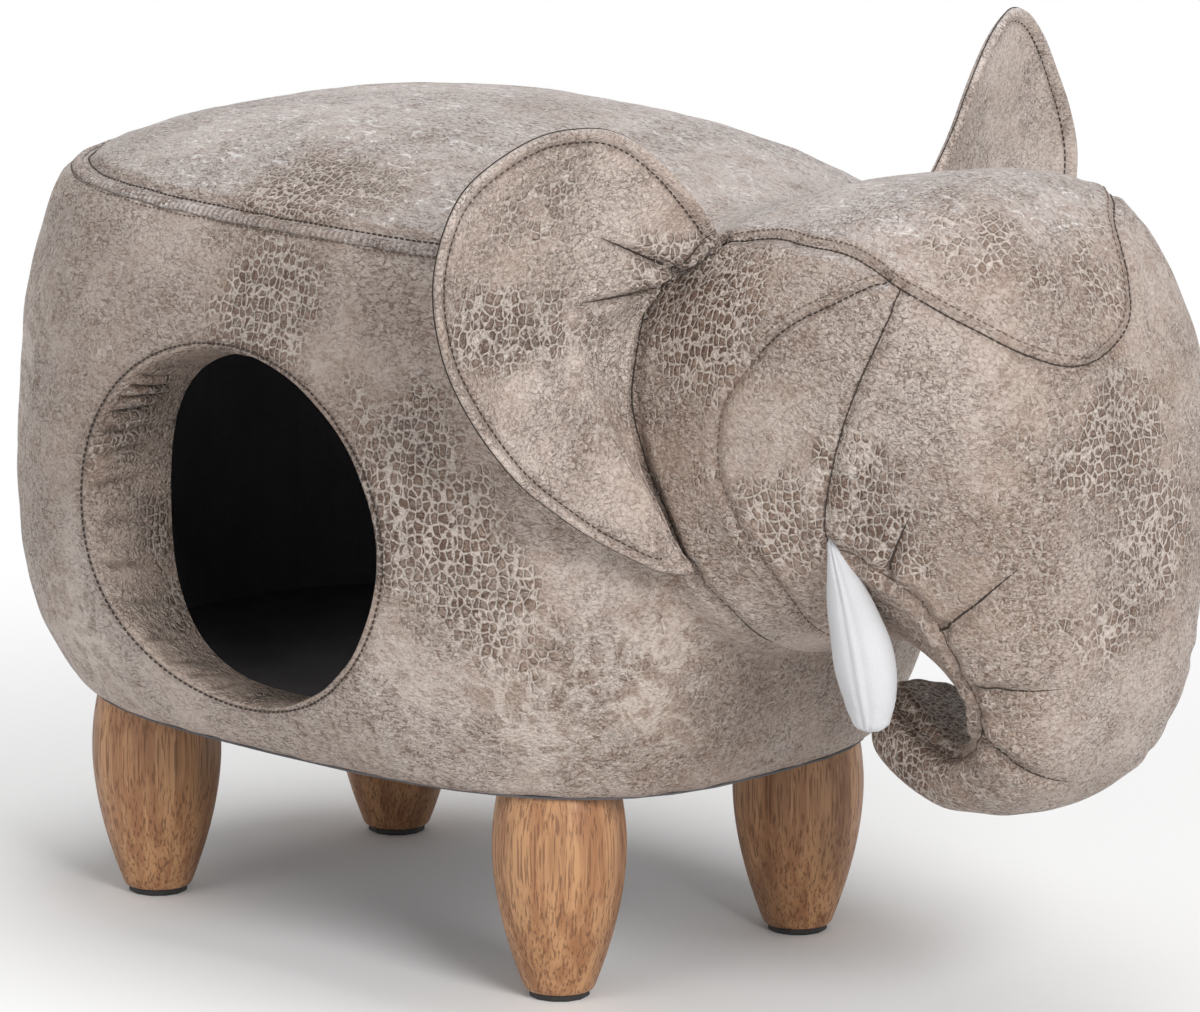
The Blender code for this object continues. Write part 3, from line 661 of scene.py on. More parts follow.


# Folded edge beside the seat seam: steps to a ridge and across it, the ridges' slant, the painted shade
# between them
LADDER_STEPS = 8
LADDER_SLANT = 0.0014
LADDER_SHADE = 3.2


def make_ladder_band(name, row, width, pitch, rise):
    """The folded edge along a line between two stitch rows, drawn into small ridges by the thread."""
    spots, ups = row
    spots = along(spots, pitch / LADDER_STEPS)
    ups = ups[np.linspace(0, len(ups) - 1, len(spots)).astype(int)]
    across = sideways(spots, ups)
    rings = []
    shade = []
    for i in range(len(spots)):
        ring = []
        for k in range(LADDER_STEPS + 1):
            share = k / LADDER_STEPS
            slant = i * pitch / LADDER_STEPS + LADDER_SLANT * share
            ridge = (0.5 + 0.5 * math.sin(2 * math.pi * slant / pitch)) ** 0.7
            dome = math.sin(math.pi * share) ** 0.6
            lifted = ups[i] * (rise * (0.25 + 0.75 * ridge) * dome - 0.0004)
            ring.append(Vector(spots[i] + across[i] * width * (share - 0.5) + lifted))
            # Painted shade in the valleys between the ridges
            shade.append(LADDER_SHADE * (1 - ridge))
        middle = ring[LADDER_STEPS // 2]
        ring.append(middle - Vector(ups[i]) * 0.0012)
        shade.append(0.0)
        rings.append(ring)
    verts, faces = loft(rings)
    count = len(rings[0])
    faces.append(tuple(range(count)))
    faces.append(tuple(range(len(verts) - count, len(verts))))
    band = object_from(name, verts, faces)
    set_value(band.data, "seam", shade)
    face_outwards(band)
    return band


# Doorway collar: its turn into the cabin, as shares of the lip's width and of the depth
COLLAR_PROFILE = (
    (0.0, 0.0), (0.14, -0.015), (0.30, 0.0), (0.46, 0.06), (0.62, 0.16), (0.76, 0.32), (0.88, 0.52),
    (0.97, 0.76), (1.02, 1.0),
)
COLLAR_LEATHER = 0.0012
COLLAR_FOLD_DEPTH = 0.0036
COLLAR_LOOSENESS = 0.0014
COLLAR_FOLD_SHADE = 4.2
# Drawn-in folds of the collar: degrees round the doorway, slant, strength
COLLAR_FOLDS = (
    (112, 0.10, 0.15), (122, 0.12, 0.25), (130, 0.10, 0.55), (136, 0.07, 1.0), (142, 0.05, 1.0),
    (149, 0.04, 0.9), (158, 0.00, 0.6), (166, -0.03, 0.5), (176, -0.06, 0.4), (187, -0.05, 0.4),
    (201, -0.08, 0.5), (214, -0.06, 0.4), (228, 0.05, 0.5), (239, 0.07, 0.6), (247, 0.09, 0.5),
    (256, 0.06, 0.6), (268, 0.05, 0.4), (281, 0.04, 0.3), (60, -0.08, 0.3), (85, 0.06, 0.3),
    (330, 0.05, 0.25), (20, -0.05, 0.25),
)


def signed_angle(angle):
    """The angle brought between minus and plus half a turn."""
    return (angle + math.pi) % (2 * math.pi) - math.pi


def collar_fold(angle, share):
    """How deep the collar is drawn in here, from 0 to about 1."""
    total = 0.0
    for number, (degrees, slant, strength) in enumerate(COLLAR_FOLDS):
        bend = 0.018 * noise.noise(Vector((share * 5, number * 3.7, 0.5)))
        away = signed_angle(angle - math.radians(degrees) - slant * (share - 0.4) - bend)
        middle = 0.62 + 0.10 * noise.noise(Vector((number * 5.3, 1.1, 0.2)))
        reach = math.exp(-((share - middle) / 0.21) ** 4)
        crease = math.exp(-(away / 0.019) ** 2)
        swell = math.exp(-((abs(away) - 0.05) / 0.03) ** 2)
        total += strength * reach * (crease - 0.35 * swell)
    return total


def make_collar():
    count = 720
    steps = 40
    rings = []
    shade = []
    for s in range(steps + 1):
        share = s / steps
        turned, sunk = spline(COLLAR_PROFILE, share * (len(COLLAR_PROFILE) - 1))
        exponent = 2 / (2 + DOOR_SQUARENESS * max(sunk, 0.0))
        ring = []
        for i in range(count):
            angle = 2 * math.pi * i / count
            drawn = collar_fold(angle, share)
            around = Vector((math.cos(angle) * 4, math.sin(angle) * 4, share * 2))
            loose = noise.noise(around) * math.sin(math.pi * share) * COLLAR_LOOSENESS
            shrink = (DOOR_LIP + COLLAR_LEATHER) * turned - COLLAR_FOLD_DEPTH * drawn + loose
            x = (DOOR_HALF[0] - shrink) * power(math.cos(angle), exponent)
            level = DOOR_LEVEL - DOOR_DROP * max(sunk, 0.0)
            z = level + (DOOR_HALF[1] - shrink / 2) * power(math.sin(angle), exponent)
            outside = flank(x, z)
            ring.append(at_legs((x, outside + (right_side(CABIN_HALF, x) - outside) * sunk, z)))
            # Painted shade in the folds where the collar is drawn in
            shade.append(COLLAR_FOLD_SHADE * max(0.0, drawn))
        rings.append(ring)
    verts, faces = loft(rings)
    collar = object_from("doorway_collar_leather", verts, faces)
    work = bmesh.new()
    work.from_mesh(collar.data)
    bmesh.ops.recalc_face_normals(work, faces=work.faces)
    middle = at_legs((0, 0, DOOR_LEVEL))
    facing = sum(1 if (middle - f.calc_center_median()).dot(f.normal) > 0 else -1 for f in work.faces)
    if facing < 0:
        bmesh.ops.reverse_faces(work, faces=work.faces)
    work.to_mesh(collar.data)
    work.free()
    collar.data.shade_smooth()
    set_value(collar.data, "seam", shade)
    return collar


# Ears: the rim in the ear's own plane, in millimetres: out from the hinge, up from the floor, forward
EAR_ROOT_RIM = (
    (-35, 379, -5), (-23, 367, -15), (-10, 351, -25), (0, 333, -22), (6, 302, -18), (5, 274, -8), (0, 254, 4),
    (-5, 237, 11),
)
EAR_LOBE_RIM = (
    (-11, 227, 15), (4, 228, 12), (18, 235, 7), (35, 245, 3), (53, 258, 1), (73, 275, 0), (93, 300, 0),
    (108, 327, 0),
)
EAR_TOP_RIM = {
    "right": ((115, 352, 0), (116, 374, 0), (111, 395, 0), (101, 413, 0), (84, 426, 0), (61, 436, 0),
              (39, 438, 0), (22, 435, 0), (5, 425, 0), (-14, 407, 0)),
    "left": ((117, 352, 8), (120, 378, 10), (115, 402, 8), (104, 424, 5), (92, 442, 3), (78, 455, 1),
             (64, 459, 0), (49, 455, 0), (33, 446, 0), (13, 429, 0), (-10, 407, 0)),
}
EAR_CENTRE = (46, 340)
EAR_CUP = 0.017
EAR_HEM = 0.0065
EAR_HEM_DEPTH = 0.0024
EAR_RIM_HALF = 0.0033
EAR_FULLNESS = 0.0042
EAR_ROUNDING = 0.004
EAR_SOFTNESS = 0.0022
PLEAT_DEPTH = 0.0065
PLEAT_PUFF = 0.0030
EAR_PLEATS = (((-8, 369), (20, 382)), ((-4, 357), (27, 355)))
EAR_ROOT_FOLD = ((-5, 360), (-17, 372), (-30, 383))


def ear_rim(label, count):
    keys = [Vector(key) / 1000 for key in EAR_LOBE_RIM + EAR_TOP_RIM[label] + EAR_ROOT_RIM]
    closed = keys[-1:] + keys + keys[:2]
    dense = [spline(closed, 1 + len(keys) * i / 1200) for i in range(1201)]
    rim = along(dense, 0.0004)
    index = np.linspace(0, len(rim) - 1, count + 1)[:-1].astype(int)
    return rim[index]


def pleat_fold(u, z):
    """How far the ear's front pulls in at the two pleats by its root."""
    total = 0.0
    for (u0, z0), (u1, z1) in EAR_PLEATS:
        start = Vector((u0, z0)) / 1000
        line = Vector((u1, z1)) / 1000 - start
        spot = Vector((u, z)) - start
        t = spot.dot(line) / line.length_squared
        side = abs(spot.x * line.y - spot.y * line.x) / line.length
        if -0.6 < t < 1.5:
            strength = max(0.0, 1 - max(t, 0.0) / 1.4)
            crease = -PLEAT_DEPTH * math.exp(-(side / 0.0019) ** 2)
            puff = PLEAT_PUFF * math.exp(-((side - 0.007) / 0.005) ** 2)
            total += strength * (crease + puff)
    return total


def make_ear(side, label):
    count, rings = 240, 40
    rim = ear_rim(label, count)
    centre = np.array((EAR_CENTRE[0] / 1000, EAR_CENTRE[1] / 1000, -EAR_CUP))
    out = Vector((-math.cos(EAR_SWEEP), side * math.sin(EAR_SWEEP), 0))
    front = Vector((math.sin(EAR_SWEEP), side * math.cos(EAR_SWEEP), 0))
    hinge = at_legs((EAR_HINGE[0], side * EAR_HINGE[1], 0))
    size = np.linalg.norm(rim[:, :2] - centre[:2], axis=1)

    def half_thickness(away):
        """Half the ear's thickness this far in from its rim."""
        full = EAR_RIM_HALF + EAR_FULLNESS * smooth_step(0.009, 0.045, away)
        hem = EAR_HEM_DEPTH * math.exp(-((away - EAR_HEM) / 0.0019) ** 2)
        round_edge = math.sqrt(max(0.0, 1 - (1 - min(away / EAR_ROUNDING, 1.0)) ** 2))
        return (float(full) - hem) * round_edge

    def place(index, share, face, lift=0.0):
        u, z, forward = rim[index]
        at_u = centre[0] + (u - centre[0]) * share
        at_z = centre[1] + (z - centre[1]) * share
        cup = centre[2] + (forward - centre[2]) * share ** 2.2
        soft = noise.noise(Vector((at_u * 28, at_z * 28, 5 + side))) * EAR_SOFTNESS * (1 - share ** 5)
        offset = cup + soft + face * (half_thickness(size[index] * (1 - share)) + lift)
        if face == 1:
            offset += pleat_fold(at_u, at_z)
        return hinge + out * at_u + front * offset + Vector((0, 0, at_z))

    shares = [1 - (1 - (i + 1) / rings) ** 1.35 for i in range(rings)]
    rings_front = [[place(i, share, 1) for i in range(count)] for share in shares]
    rings_back = [[place(i, share, -1) for i in range(count)] for share in shares[:-1]]
    verts, faces = loft(rings_front + rings_back[::-1], place(0, 0.0, 1), place(0, 0.0, -1))
    ear = object_from(f"ear_leather_{label}", verts, faces)
    face_outwards(ear)
    outer = [i for i in range(count) if rim[i][2] > -0.003 and not (rim[i][0] < 0 and rim[i][1] < 0.30)]
    gap = max(range(len(outer)), key=lambda i: (outer[i] - outer[i - 1]) % count)
    outer = outer[gap:] + outer[:gap]
    rows = []
    for face in (1, -1):
        spots = along([place(i, 1 - EAR_HEM / size[i], face, 0.0002) for i in outer])
        rows.append((spots, np.tile(np.array(front * face), (len(spots), 1))))

    def in_plane(u, z):
        return hinge + out * (u / 1000) + Vector((0, 0, z / 1000))

    creases = []
    for pleat in EAR_PLEATS:
        start, end = [in_plane(*key) for key in pleat]
        creases.append(along([start, start.lerp(end, 1.25)]))
    creases.append(along([in_plane(*key) for key in EAR_ROOT_FOLD]))
    tree = surface_of(ear.data)
    laid = []
    for line in creases:
        hits = [tree.ray_cast(Vector(spot) + front * 0.06, -front)[0] for spot in line]
        hits = np.array([hit for hit in hits if hit])
        laid.append((hits, np.tile(np.array(front), (len(hits), 1))))
    edge = along([place(i, 1.0, 1) - front * 0.0012 for i in outer])
    away = edge - np.array(in_plane(*EAR_CENTRE))
    rim_seam = (edge, away / np.linalg.norm(away, axis=1)[:, None])
    return ear, rows, laid, rim_seam


# Tusks
TUSK_TOP = (0.3205, 0.0905, 0.2560)
TUSK_LENGTH = 0.090
TUSK_RADIUS = 0.0185
TUSK_FLATNESS = 0.78
TUSK_LEAN = 0.026
TUSK_BOW = 0.0035
TUSK_SEAM_ANGLE = math.radians(60)
TUSK_FLAT_ANGLE = math.radians(135)


def make_tusk(side, label):
    count, steps = 64, 60
    top = at_legs((TUSK_TOP[0], side * TUSK_TOP[1], TUSK_TOP[2]))
    rings = []
    for s in range(1, steps):
        share = s / steps
        blunt = math.sqrt(1 - max(0.0, (share - 0.95) / 0.05) ** 2)
        radius = TUSK_RADIUS * math.sin(math.pi * (0.94 * share) ** 1.32) ** 0.64 * blunt
        bowed = TUSK_LEAN * share + TUSK_BOW * math.sin(math.pi * share)
        middle = top + Vector((bowed, 0, -TUSK_LENGTH * share))
        ring = []
        for i in range(count):
            angle = 2 * math.pi * i / count
            seam_side = abs(signed_angle(angle - side * TUSK_SEAM_ANGLE))
            seam = 0.0009 * math.exp(-(seam_side / 0.07) ** 2)
            seam -= 0.0008 * math.exp(-((seam_side - 0.20) / 0.11) ** 2)
            crinkle = noise.noise(Vector((angle * 4, share * 26, side * 2.0))) * 0.0009
            crinkle *= smooth_step(0.72, 0.95, share)
            soft = noise.noise(Vector((math.cos(angle), math.sin(angle), share * 5 + side))) * 0.0006
            flat = 1 - 0.28 * (1 + math.cos(angle - side * TUSK_FLAT_ANGLE)) / 2
            grow = radius * flat + (seam + float(crinkle) + soft) * min(1.0, radius / 0.006)
            ring.append(middle + Vector((math.cos(angle), TUSK_FLATNESS * math.sin(angle), 0)) * grow)
        rings.append(ring)
    end = top + Vector((TUSK_LEAN, 0, -TUSK_LENGTH))
    verts, faces = loft(rings, top, end)
    tusk = object_from(f"tusk_cloth_{label}", verts, faces)
    face_outwards(tusk)
    return tusk


# Legs
LEG_BOTTOM = 0.0033
LEG_LENGTH = 0.1012
LEG_BULGE_HEIGHT = 0.071
LEG_BULGE_RADIUS = 0.0325
LEG_FOOT_RADIUS = 0.0165
LEG_TOP_RADIUS = 0.0290
LEG_PLACES = {
    "front_right": (0.1415, -0.0845), "front_left": (0.1415, 0.0845),
    "rear_right": (-0.1415, -0.0845), "rear_left": (-0.1415, 0.0845),
}


def leg_radius(height):
    if height < LEG_BULGE_HEIGHT:
        share = ((LEG_BULGE_HEIGHT - height) / LEG_BULGE_HEIGHT) ** 1.8
        return LEG_BULGE_RADIUS - (LEG_BULGE_RADIUS - LEG_FOOT_RADIUS) * share
    share = ((height - LEG_BULGE_HEIGHT) / (LEG_LENGTH - LEG_BULGE_HEIGHT)) ** 2
    return LEG_BULGE_RADIUS - (LEG_BULGE_RADIUS - LEG_TOP_RADIUS) * share


def make_leg(where):
    x, y = LEG_PLACES[where]
    count, steps, ease = 72, 44, 0.0016
    heights = [ease * (1 - math.cos(math.pi * i / 8)) / 2 for i in range(4)]
    heights += [ease + (LEG_LENGTH - ease) * i / steps for i in range(steps + 1)]
    rings = []
    for height in heights:
        inset = ease - math.sqrt(max(0.0, ease ** 2 - (ease - height) ** 2)) if height < ease else 0.0
        radius = leg_radius(height) - inset
        ring = []
        for i in range(count):
            angle = 2 * math.pi * i / count
            spoke = (radius * math.cos(angle), radius * math.sin(angle))
            ring.append(at_legs((x + spoke[0], y + spoke[1], LEG_BOTTOM + height)))
        rings.append(ring)
    bottom = at_legs((x, y, LEG_BOTTOM))
    top = at_legs((x, y, LEG_BOTTOM + LEG_LENGTH))
    verts, faces = loft(rings, bottom, top)
    leg = object_from(f"turned_leg_{where}", verts, faces)
    face_outwards(leg)
    leg.data.set_sharp_from_angle(angle=math.radians(50))
    return leg


# Worn scaly patches, and two under the trunk that paint its shade: place from the centre of the legs, reach,
# strength
WEAR_AND_SHADE_PATCHES = (
    ((0.240, -0.095, 0.350), 0.034, 1.00), ((0.262, -0.100, 0.338), 0.026, 0.80),
    ((0.430, -0.020, 0.300), 0.030, 0.85), ((0.432, 0.005, 0.262), 0.034, 0.80),
    ((0.428, -0.018, 0.225), 0.026, 0.55),
    ((0.119, -0.162, 0.275), 0.028, 0.75), ((0.125, -0.162, 0.240), 0.034, 0.90),
    ((0.148, -0.157, 0.215), 0.034, 0.80),
    ((0.022, -0.162, 0.335), 0.030, 0.75), ((0.040, -0.162, 0.340), 0.020, 0.60),
    ((0.014, -0.125, 0.385), 0.036, 0.65), ((0.060, -0.120, 0.388), 0.030, 0.45),
    ((0.344, -0.095, 0.285), 0.024, 0.85), ((0.352, -0.092, 0.262), 0.022, 0.75),
    ((0.300, -0.099, 0.262), 0.026, 0.50),
    # These two paint the shade under the trunk
    ((0.300, -0.030, 0.132), 0.034, 0.95), ((0.318, 0.000, 0.150), 0.036, 1.00),
    ((0.10, 0.168, 0.230), 0.050, 0.75), ((-0.06, 0.170, 0.290), 0.045, 0.70),
    ((-0.19, 0.130, 0.200), 0.050, 0.60),
    ((-0.235, 0.00, 0.250), 0.050, 0.75), ((-0.225, -0.06, 0.180), 0.040, 0.55),
    ((-0.10, 0.06, 0.400), 0.045, 0.45),
    ((0.250, 0.100, 0.330), 0.036, 0.90), ((0.340, 0.095, 0.270), 0.034, 0.75),
    ((0.360, -0.045, 0.395), 0.050, 0.26), ((0.385, 0.010, 0.380), 0.045, 0.28),
    ((0.350, -0.090, 0.180), 0.050, 0.24),
    ((0.375, -0.020, 0.150), 0.040, 0.30),
)
COLLAR_WORN_PATCHES = (
    ((-0.085, -0.140, 0.255), 0.026, 0.48), ((-0.092, -0.138, 0.205), 0.024, 0.42),
    ((-0.080, -0.138, 0.165), 0.024, 0.48),
    ((-0.050, -0.140, 0.138), 0.022, 0.44), ((0.000, -0.140, 0.132), 0.022, 0.36),
)
EAR_WORN_PATCHES = (
    ((0.1905, 0.192, 0.347), 0.016, 0.95), ((0.190, 0.172, 0.345), 0.018, 0.90),
    ((0.195, 0.152, 0.343), 0.017, 0.88),
    ((0.203, 0.129, 0.342), 0.016, 0.75), ((0.200, 0.140, 0.300), 0.014, 0.40),
    ((0.205, 0.150, 0.405), 0.045, 0.27),
)
MARBLED_ZONES = (
    ((0.200, -0.117, 0.170), 0.055), ((0.163, -0.133, 0.145), 0.050), ((0.100, -0.150, 0.150), 0.050),
    ((-0.114, -0.154, 0.145), 0.045), ((-0.180, -0.140, 0.280), 0.045), ((0.05, 0.160, 0.160), 0.060),
    ((-0.220, 0.050, 0.160), 0.060), ((0.330, -0.090, 0.300), 0.030),
)


def mark_patches(mesh, extra=()):
    points = coords(mesh)
    wear_and_shade = np.zeros(len(points))
    for place, reach, strength in WEAR_AND_SHADE_PATCHES + tuple(extra):
        away = np.linalg.norm(points - np.array(at_legs(place)), axis=1)
        wear_and_shade = np.maximum(wear_and_shade, strength * bell(away, reach))
    set_value(mesh, "wear_and_shade", wear_and_shade)
    marbled = np.zeros(len(points))
    for place, reach in MARBLED_ZONES:
        away = np.linalg.norm(points - np.array(at_legs(place)), axis=1)
        marbled = np.maximum(marbled, bell(away, reach))
    set_value(mesh, "marbled", marbled)
    # A mask of the upward-facing top, where the leather paints a lighter, greyer sheen and lays its scratches
    top = smooth_step(0.55, 0.92, normals(mesh)[:, 2]) * smooth_step(0.34, 0.38, points[:, 2])
    set_value(mesh, "sheen_and_scratches", top)


# Materials
def ramp(tree, value, low, high, to_low=0.0, to_high=1.0):
    """The value eased from one range into another."""
    sockets = {"Value": value, "From Min": low, "From Max": high, "To Min": to_low, "To Max": to_high}
    return add(tree, "ShaderNodeMapRange", sockets, interpolation_type="SMOOTHSTEP").outputs["Result"]


def calc(tree, operation, a, b=0.0, c=0.0):
    return add(tree, "ShaderNodeMath", {0: a, 1: b, 2: c}, operation=operation).outputs[0]


def blend_colour(tree, factor, a, b):
    return add(tree, "ShaderNodeMix", {0: factor, 6: a, 7: b}, data_type="RGBA").outputs[2]


def tint(tree, tone, colour, mask, strength):
    """The tone drawn towards a colour by a mask times a strength."""
    return blend_colour(tree, calc(tree, "MULTIPLY", mask, strength), tone, colour)


def stretched(tree, vector, scale, turn=(0, 0, 0)):
    sockets = {"Vector": vector, "Scale": scale, "Rotation": turn}
    return add(tree, "ShaderNodeMapping", sockets).outputs["Vector"]


def noise_value(tree, vector, scale, detail=2.0, roughness=0.5, distortion=0.0):
    sockets = {"Vector": vector, "Scale": scale, "Detail": detail, "Roughness": roughness}
    return add(tree, "ShaderNodeTexNoise", {**sockets, "Distortion": distortion}).outputs["Fac"]


def attribute(tree, name):
    return add(tree, "ShaderNodeAttribute", attribute_name=name).outputs["Fac"]


def new_material(name):
    """A material, its nodes, its shader's inputs and the piece's own coordinates."""
    made = bpy.data.materials.new(name)
    made.use_nodes = True
    tree = made.node_tree
    place = add(tree, "ShaderNodeTexCoord").outputs["Object"]
    return made, tree, tree.nodes["Principled BSDF"].inputs, place


def finish_surface(tree, shader, tone, rough, height, strength, distance, invert=False):
    """Links a tone, a roughness and a relief to the shader."""
    sockets = {"Height": height, "Strength": strength, "Distance": distance}
    bump = add(tree, "ShaderNodeBump", sockets, invert=invert)
    for value, socket in ((tone, "Base Color"), (rough, "Roughness"), (bump.outputs["Normal"], "Normal")):
        tree.links.new(value, shader[socket])


def grain_group():
    """Fine wrinkled grain: a height, and masks of its furrows and ridges, which the leather darkens as
    painted shade and lightens as a painted highlight.
    """
    inputs = (("Vector", "Vector", None), ("Fineness", "Float", 620.0))
    outputs = (("Height", "Float"), ("Furrow", "Float"), ("Ridge", "Float"))
    tree, given, out = new_group("wrinkled_grain", inputs, outputs)
    long_way = stretched(tree, given["Vector"], (0.72, 1.15, 1.30), (0.12, 0.10, 0.15))
    wrinkle = noise_value(tree, long_way, given["Fineness"], distortion=1.1)
    pebble = add(tree, "ShaderNodeTexVoronoi", {"Vector": long_way, "Scale": given["Fineness"]})
    height = calc(tree, "MULTIPLY_ADD", pebble.outputs["Distance"], -0.30, wrinkle)
    tree.links.new(height, out["Height"])
    tree.links.new(ramp(tree, wrinkle, 0.455, 0.400), out["Furrow"])
    tree.links.new(ramp(tree, wrinkle, 0.545, 0.605), out["Ridge"])
    return tree


def scale_group():
    """Scaly crackle: light veins round darker cells, and a rim beside the veins that the leather darkens as
    painted shade to emboss the cells.
    """
    inputs = (("Vector", "Vector", None), ("Cells", "Float", 150.0))
    outputs = (("Vein", "Float"), ("Cell", "Float"), ("Rim", "Float"), ("Height", "Float"))
    tree, given, out = new_group("scaly_crackle", inputs, outputs)
    bend = add(tree, "ShaderNodeTexNoise", {"Vector": given["Vector"], "Scale": 150.0, "Detail": 2.0})
    middle = {0: bend.outputs["Color"], 1: (0.5, 0.5, 0.5)}
    shift = add(tree, "ShaderNodeVectorMath", middle, operation="SUBTRACT")
    small = add(tree, "ShaderNodeVectorMath", {0: shift.outputs[0], "Scale": 0.0045}, operation="SCALE")
    moved = {0: given["Vector"], 1: small.outputs[0]}
    bent = add(tree, "ShaderNodeVectorMath", moved, operation="ADD")
    long_way = stretched(tree, bent.outputs[0], (1.0, 1.0, 0.74))
    cells = {"Vector": long_way, "Scale": given["Cells"], "Randomness": 0.66}
    edge = add(tree, "ShaderNodeTexVoronoi", cells, feature="DISTANCE_TO_EDGE").outputs["Distance"]
    cell = add(tree, "ShaderNodeTexVoronoi", cells).outputs["Color"]
    split = add(tree, "ShaderNodeSeparateColor", {"Color": cell})
    tree.links.new(ramp(tree, edge, 0.15, 0.04), out["Vein"])
    tree.links.new(split.outputs[0], out["Cell"])
    tree.links.new(ramp(tree, edge, 0.36, 0.16), out["Rim"])
    tree.links.new(ramp(tree, edge, 0.0, 0.28), out["Height"])
    return tree


def leather(name, groups, tones, spread, grain=450.0, cells=245.0):
    """Worn leather: grain, broad tone, scaly patches, scratched streaks, a painted sheen on the top, and
    darkening at seams, folds and creases that is painted shade, with some dirt at the seams.
    """
    made, tree, shader, place = new_material(name)
    grain_inputs = {"Vector": place, "Fineness": grain}
    grains = add(tree, "ShaderNodeGroup", grain_inputs, node_tree=groups["grain"]).outputs
    scale_inputs = {"Vector": place, "Cells": cells}
    scales = add(tree, "ShaderNodeGroup", scale_inputs, node_tree=groups["scale"]).outputs
    wear_and_shade, seam, sheen_and_scratches, marbled = [attribute(tree, label) for label in ("wear_and_shade", "seam", "sheen_and_scratches", "marbled")]
    # Broad tone and blotches
    cloud = noise_value(tree, place, 10.0, 3.0, 0.55)
    blotch = noise_value(tree, place, 70.0, 5.0, 0.68, 0.5)
    tone = blend_colour(tree, ramp(tree, cloud, 0.36, 0.64), tones["mid"], tones["pale"])
    # Painted sheen: the upward-facing top drawn lighter and greyer
    tone = tint(tree, tone, tones["sheen"], sheen_and_scratches, 0.70)
    tone = tint(tree, tone, tones["brown"], ramp(tree, blotch, 0.52, 0.34), 0.38)
    tone = tint(tree, tone, tones["vein"], ramp(tree, blotch, 0.58, 0.72), 0.45)
    # Scaly patches where the leather is worn, and under the trunk, where they paint its shade
    chance = calc(tree, "MULTIPLY_ADD", ramp(tree, cloud, 0.60, 0.40), spread, wear_and_shade)
    chance = calc(tree, "ADD", chance, calc(tree, "MULTIPLY_ADD", blotch, 1.5, -0.75))
    patch = ramp(tree, chance, 0.22, 0.62)
    deep = ramp(tree, chance, 0.45, 1.05)
    tone = tint(tree, tone, tones["brown"], patch, 0.58)
    tone = tint(tree, tone, tones["dark"], deep, calc(tree, "MULTIPLY_ADD", scales["Cell"], 0.7, 0.26))
    # Painted shade round each cell's rim, so the cells look embossed
    tone = tint(tree, tone, tones["dark"], calc(tree, "MULTIPLY", patch, scales["Rim"]), 0.42)
    # Grain, stronger in some zones: furrows darkened as painted shade, ridges lightened as a painted
    # highlight
    zone = ramp(tree, noise_value(tree, place, 24.0), 0.34, 0.62, 0.52, 1.12)
    tone = tint(tree, tone, tones["dark"], calc(tree, "MULTIPLY", grains["Furrow"], zone), 0.52)
    tone = tint(tree, tone, tones["vein"], calc(tree, "MULTIPLY", grains["Ridge"], zone), 0.36)
    # Marbling and the veins between scales
    net = noise_value(tree, place, 42.0, 5.0, 0.62, 0.6)
    net = ramp(tree, calc(tree, "ABSOLUTE", calc(tree, "SUBTRACT", net, 0.5)), 0.075, 0.0)
    tone = tint(tree, tone, tones["vein"], net, calc(tree, "MULTIPLY_ADD", marbled, 0.62, 0.10))
    tone = tint(tree, tone, tones["vein"], calc(tree, "MULTIPLY", patch, scales["Vein"]), 0.76)
    # Scratched streaks, most on the top, and darkening from the seam attribute: painted shade in seams, folds
    # and creases, with some dirt at the seams
    drawn = stretched(tree, place, (0.34, 0.85, 1.6), (0.35, 0.2, 0.5))
    lines = noise_value(tree, drawn, 190.0, 5.0, 0.66, 1.9)
    clustered = calc(tree, "MULTIPLY", ramp(tree, lines, 0.54, 0.66), ramp(tree, cloud, 0.38, 0.56))
    tone = tint(tree, tone, tones["rub"], clustered, calc(tree, "MULTIPLY_ADD", sheen_and_scratches, 0.78, 0.14))
    tone = tint(tree, tone, tones["dark"], seam, 0.16)
    rough = calc(tree, "MULTIPLY_ADD", grains["Furrow"], 0.24, 0.39)
    swell = calc(tree, "MULTIPLY", calc(tree, "SUBTRACT", grains["Height"], 0.4), zone)
    relief = calc(tree, "MULTIPLY_ADD", calc(tree, "MULTIPLY", patch, scales["Height"]), 0.4, swell)
    finish_surface(tree, shader, tone, rough, relief, 1.0, 0.0030)
    shader["Specular IOR Level"].default_value = 0.40
    return made


def wood(name, pale, mid, dark):
    """Open-grained oiled wood with its grain along Z."""
    made, tree, shader, place = new_material(name)
    bands = noise_value(tree, stretched(tree, place, (1.0, 1.0, 0.05)), 150.0, 5.0, 0.6, 0.4)
    fine = noise_value(tree, stretched(tree, place, (1.0, 1.0, 0.036)), 980.0, distortion=0.3)
    broad = noise_value(tree, stretched(tree, place, (1.0, 1.0, 0.2)), 26.0)
    pores = ramp(tree, fine, 0.51, 0.62)
    tone = blend_colour(tree, ramp(tree, bands, 0.38, 0.62), mid, pale)
    tone = tint(tree, tone, dark, ramp(tree, broad, 0.52, 0.36), 0.45)
    tone = tint(tree, tone, dark, pores, 0.62)
    rough = calc(tree, "MULTIPLY_ADD", pores, 0.2, 0.42)
    finish_surface(tree, shader, tone, rough, pores, 0.25, 0.0004, invert=True)
    return made


def cloth(name, tone, second, weave, rough_low, strength):
    """Plain woven or felted cloth."""
    made, tree, shader, place = new_material(name)
    fibre = noise_value(tree, place, weave, 4.0, 0.7)
    cloud = noise_value(tree, place, 30.0, 3.0)
    mixed = calc(tree, "MULTIPLY_ADD", fibre, 0.6, calc(tree, "MULTIPLY", cloud, 0.4))
    mottled = blend_colour(tree, ramp(tree, mixed, 0.35, 0.65), second, tone)
    rough = calc(tree, "MULTIPLY_ADD", fibre, 0.15, rough_low)
    finish_surface(tree, shader, mottled, rough, fibre, strength, 0.0004)
    return made


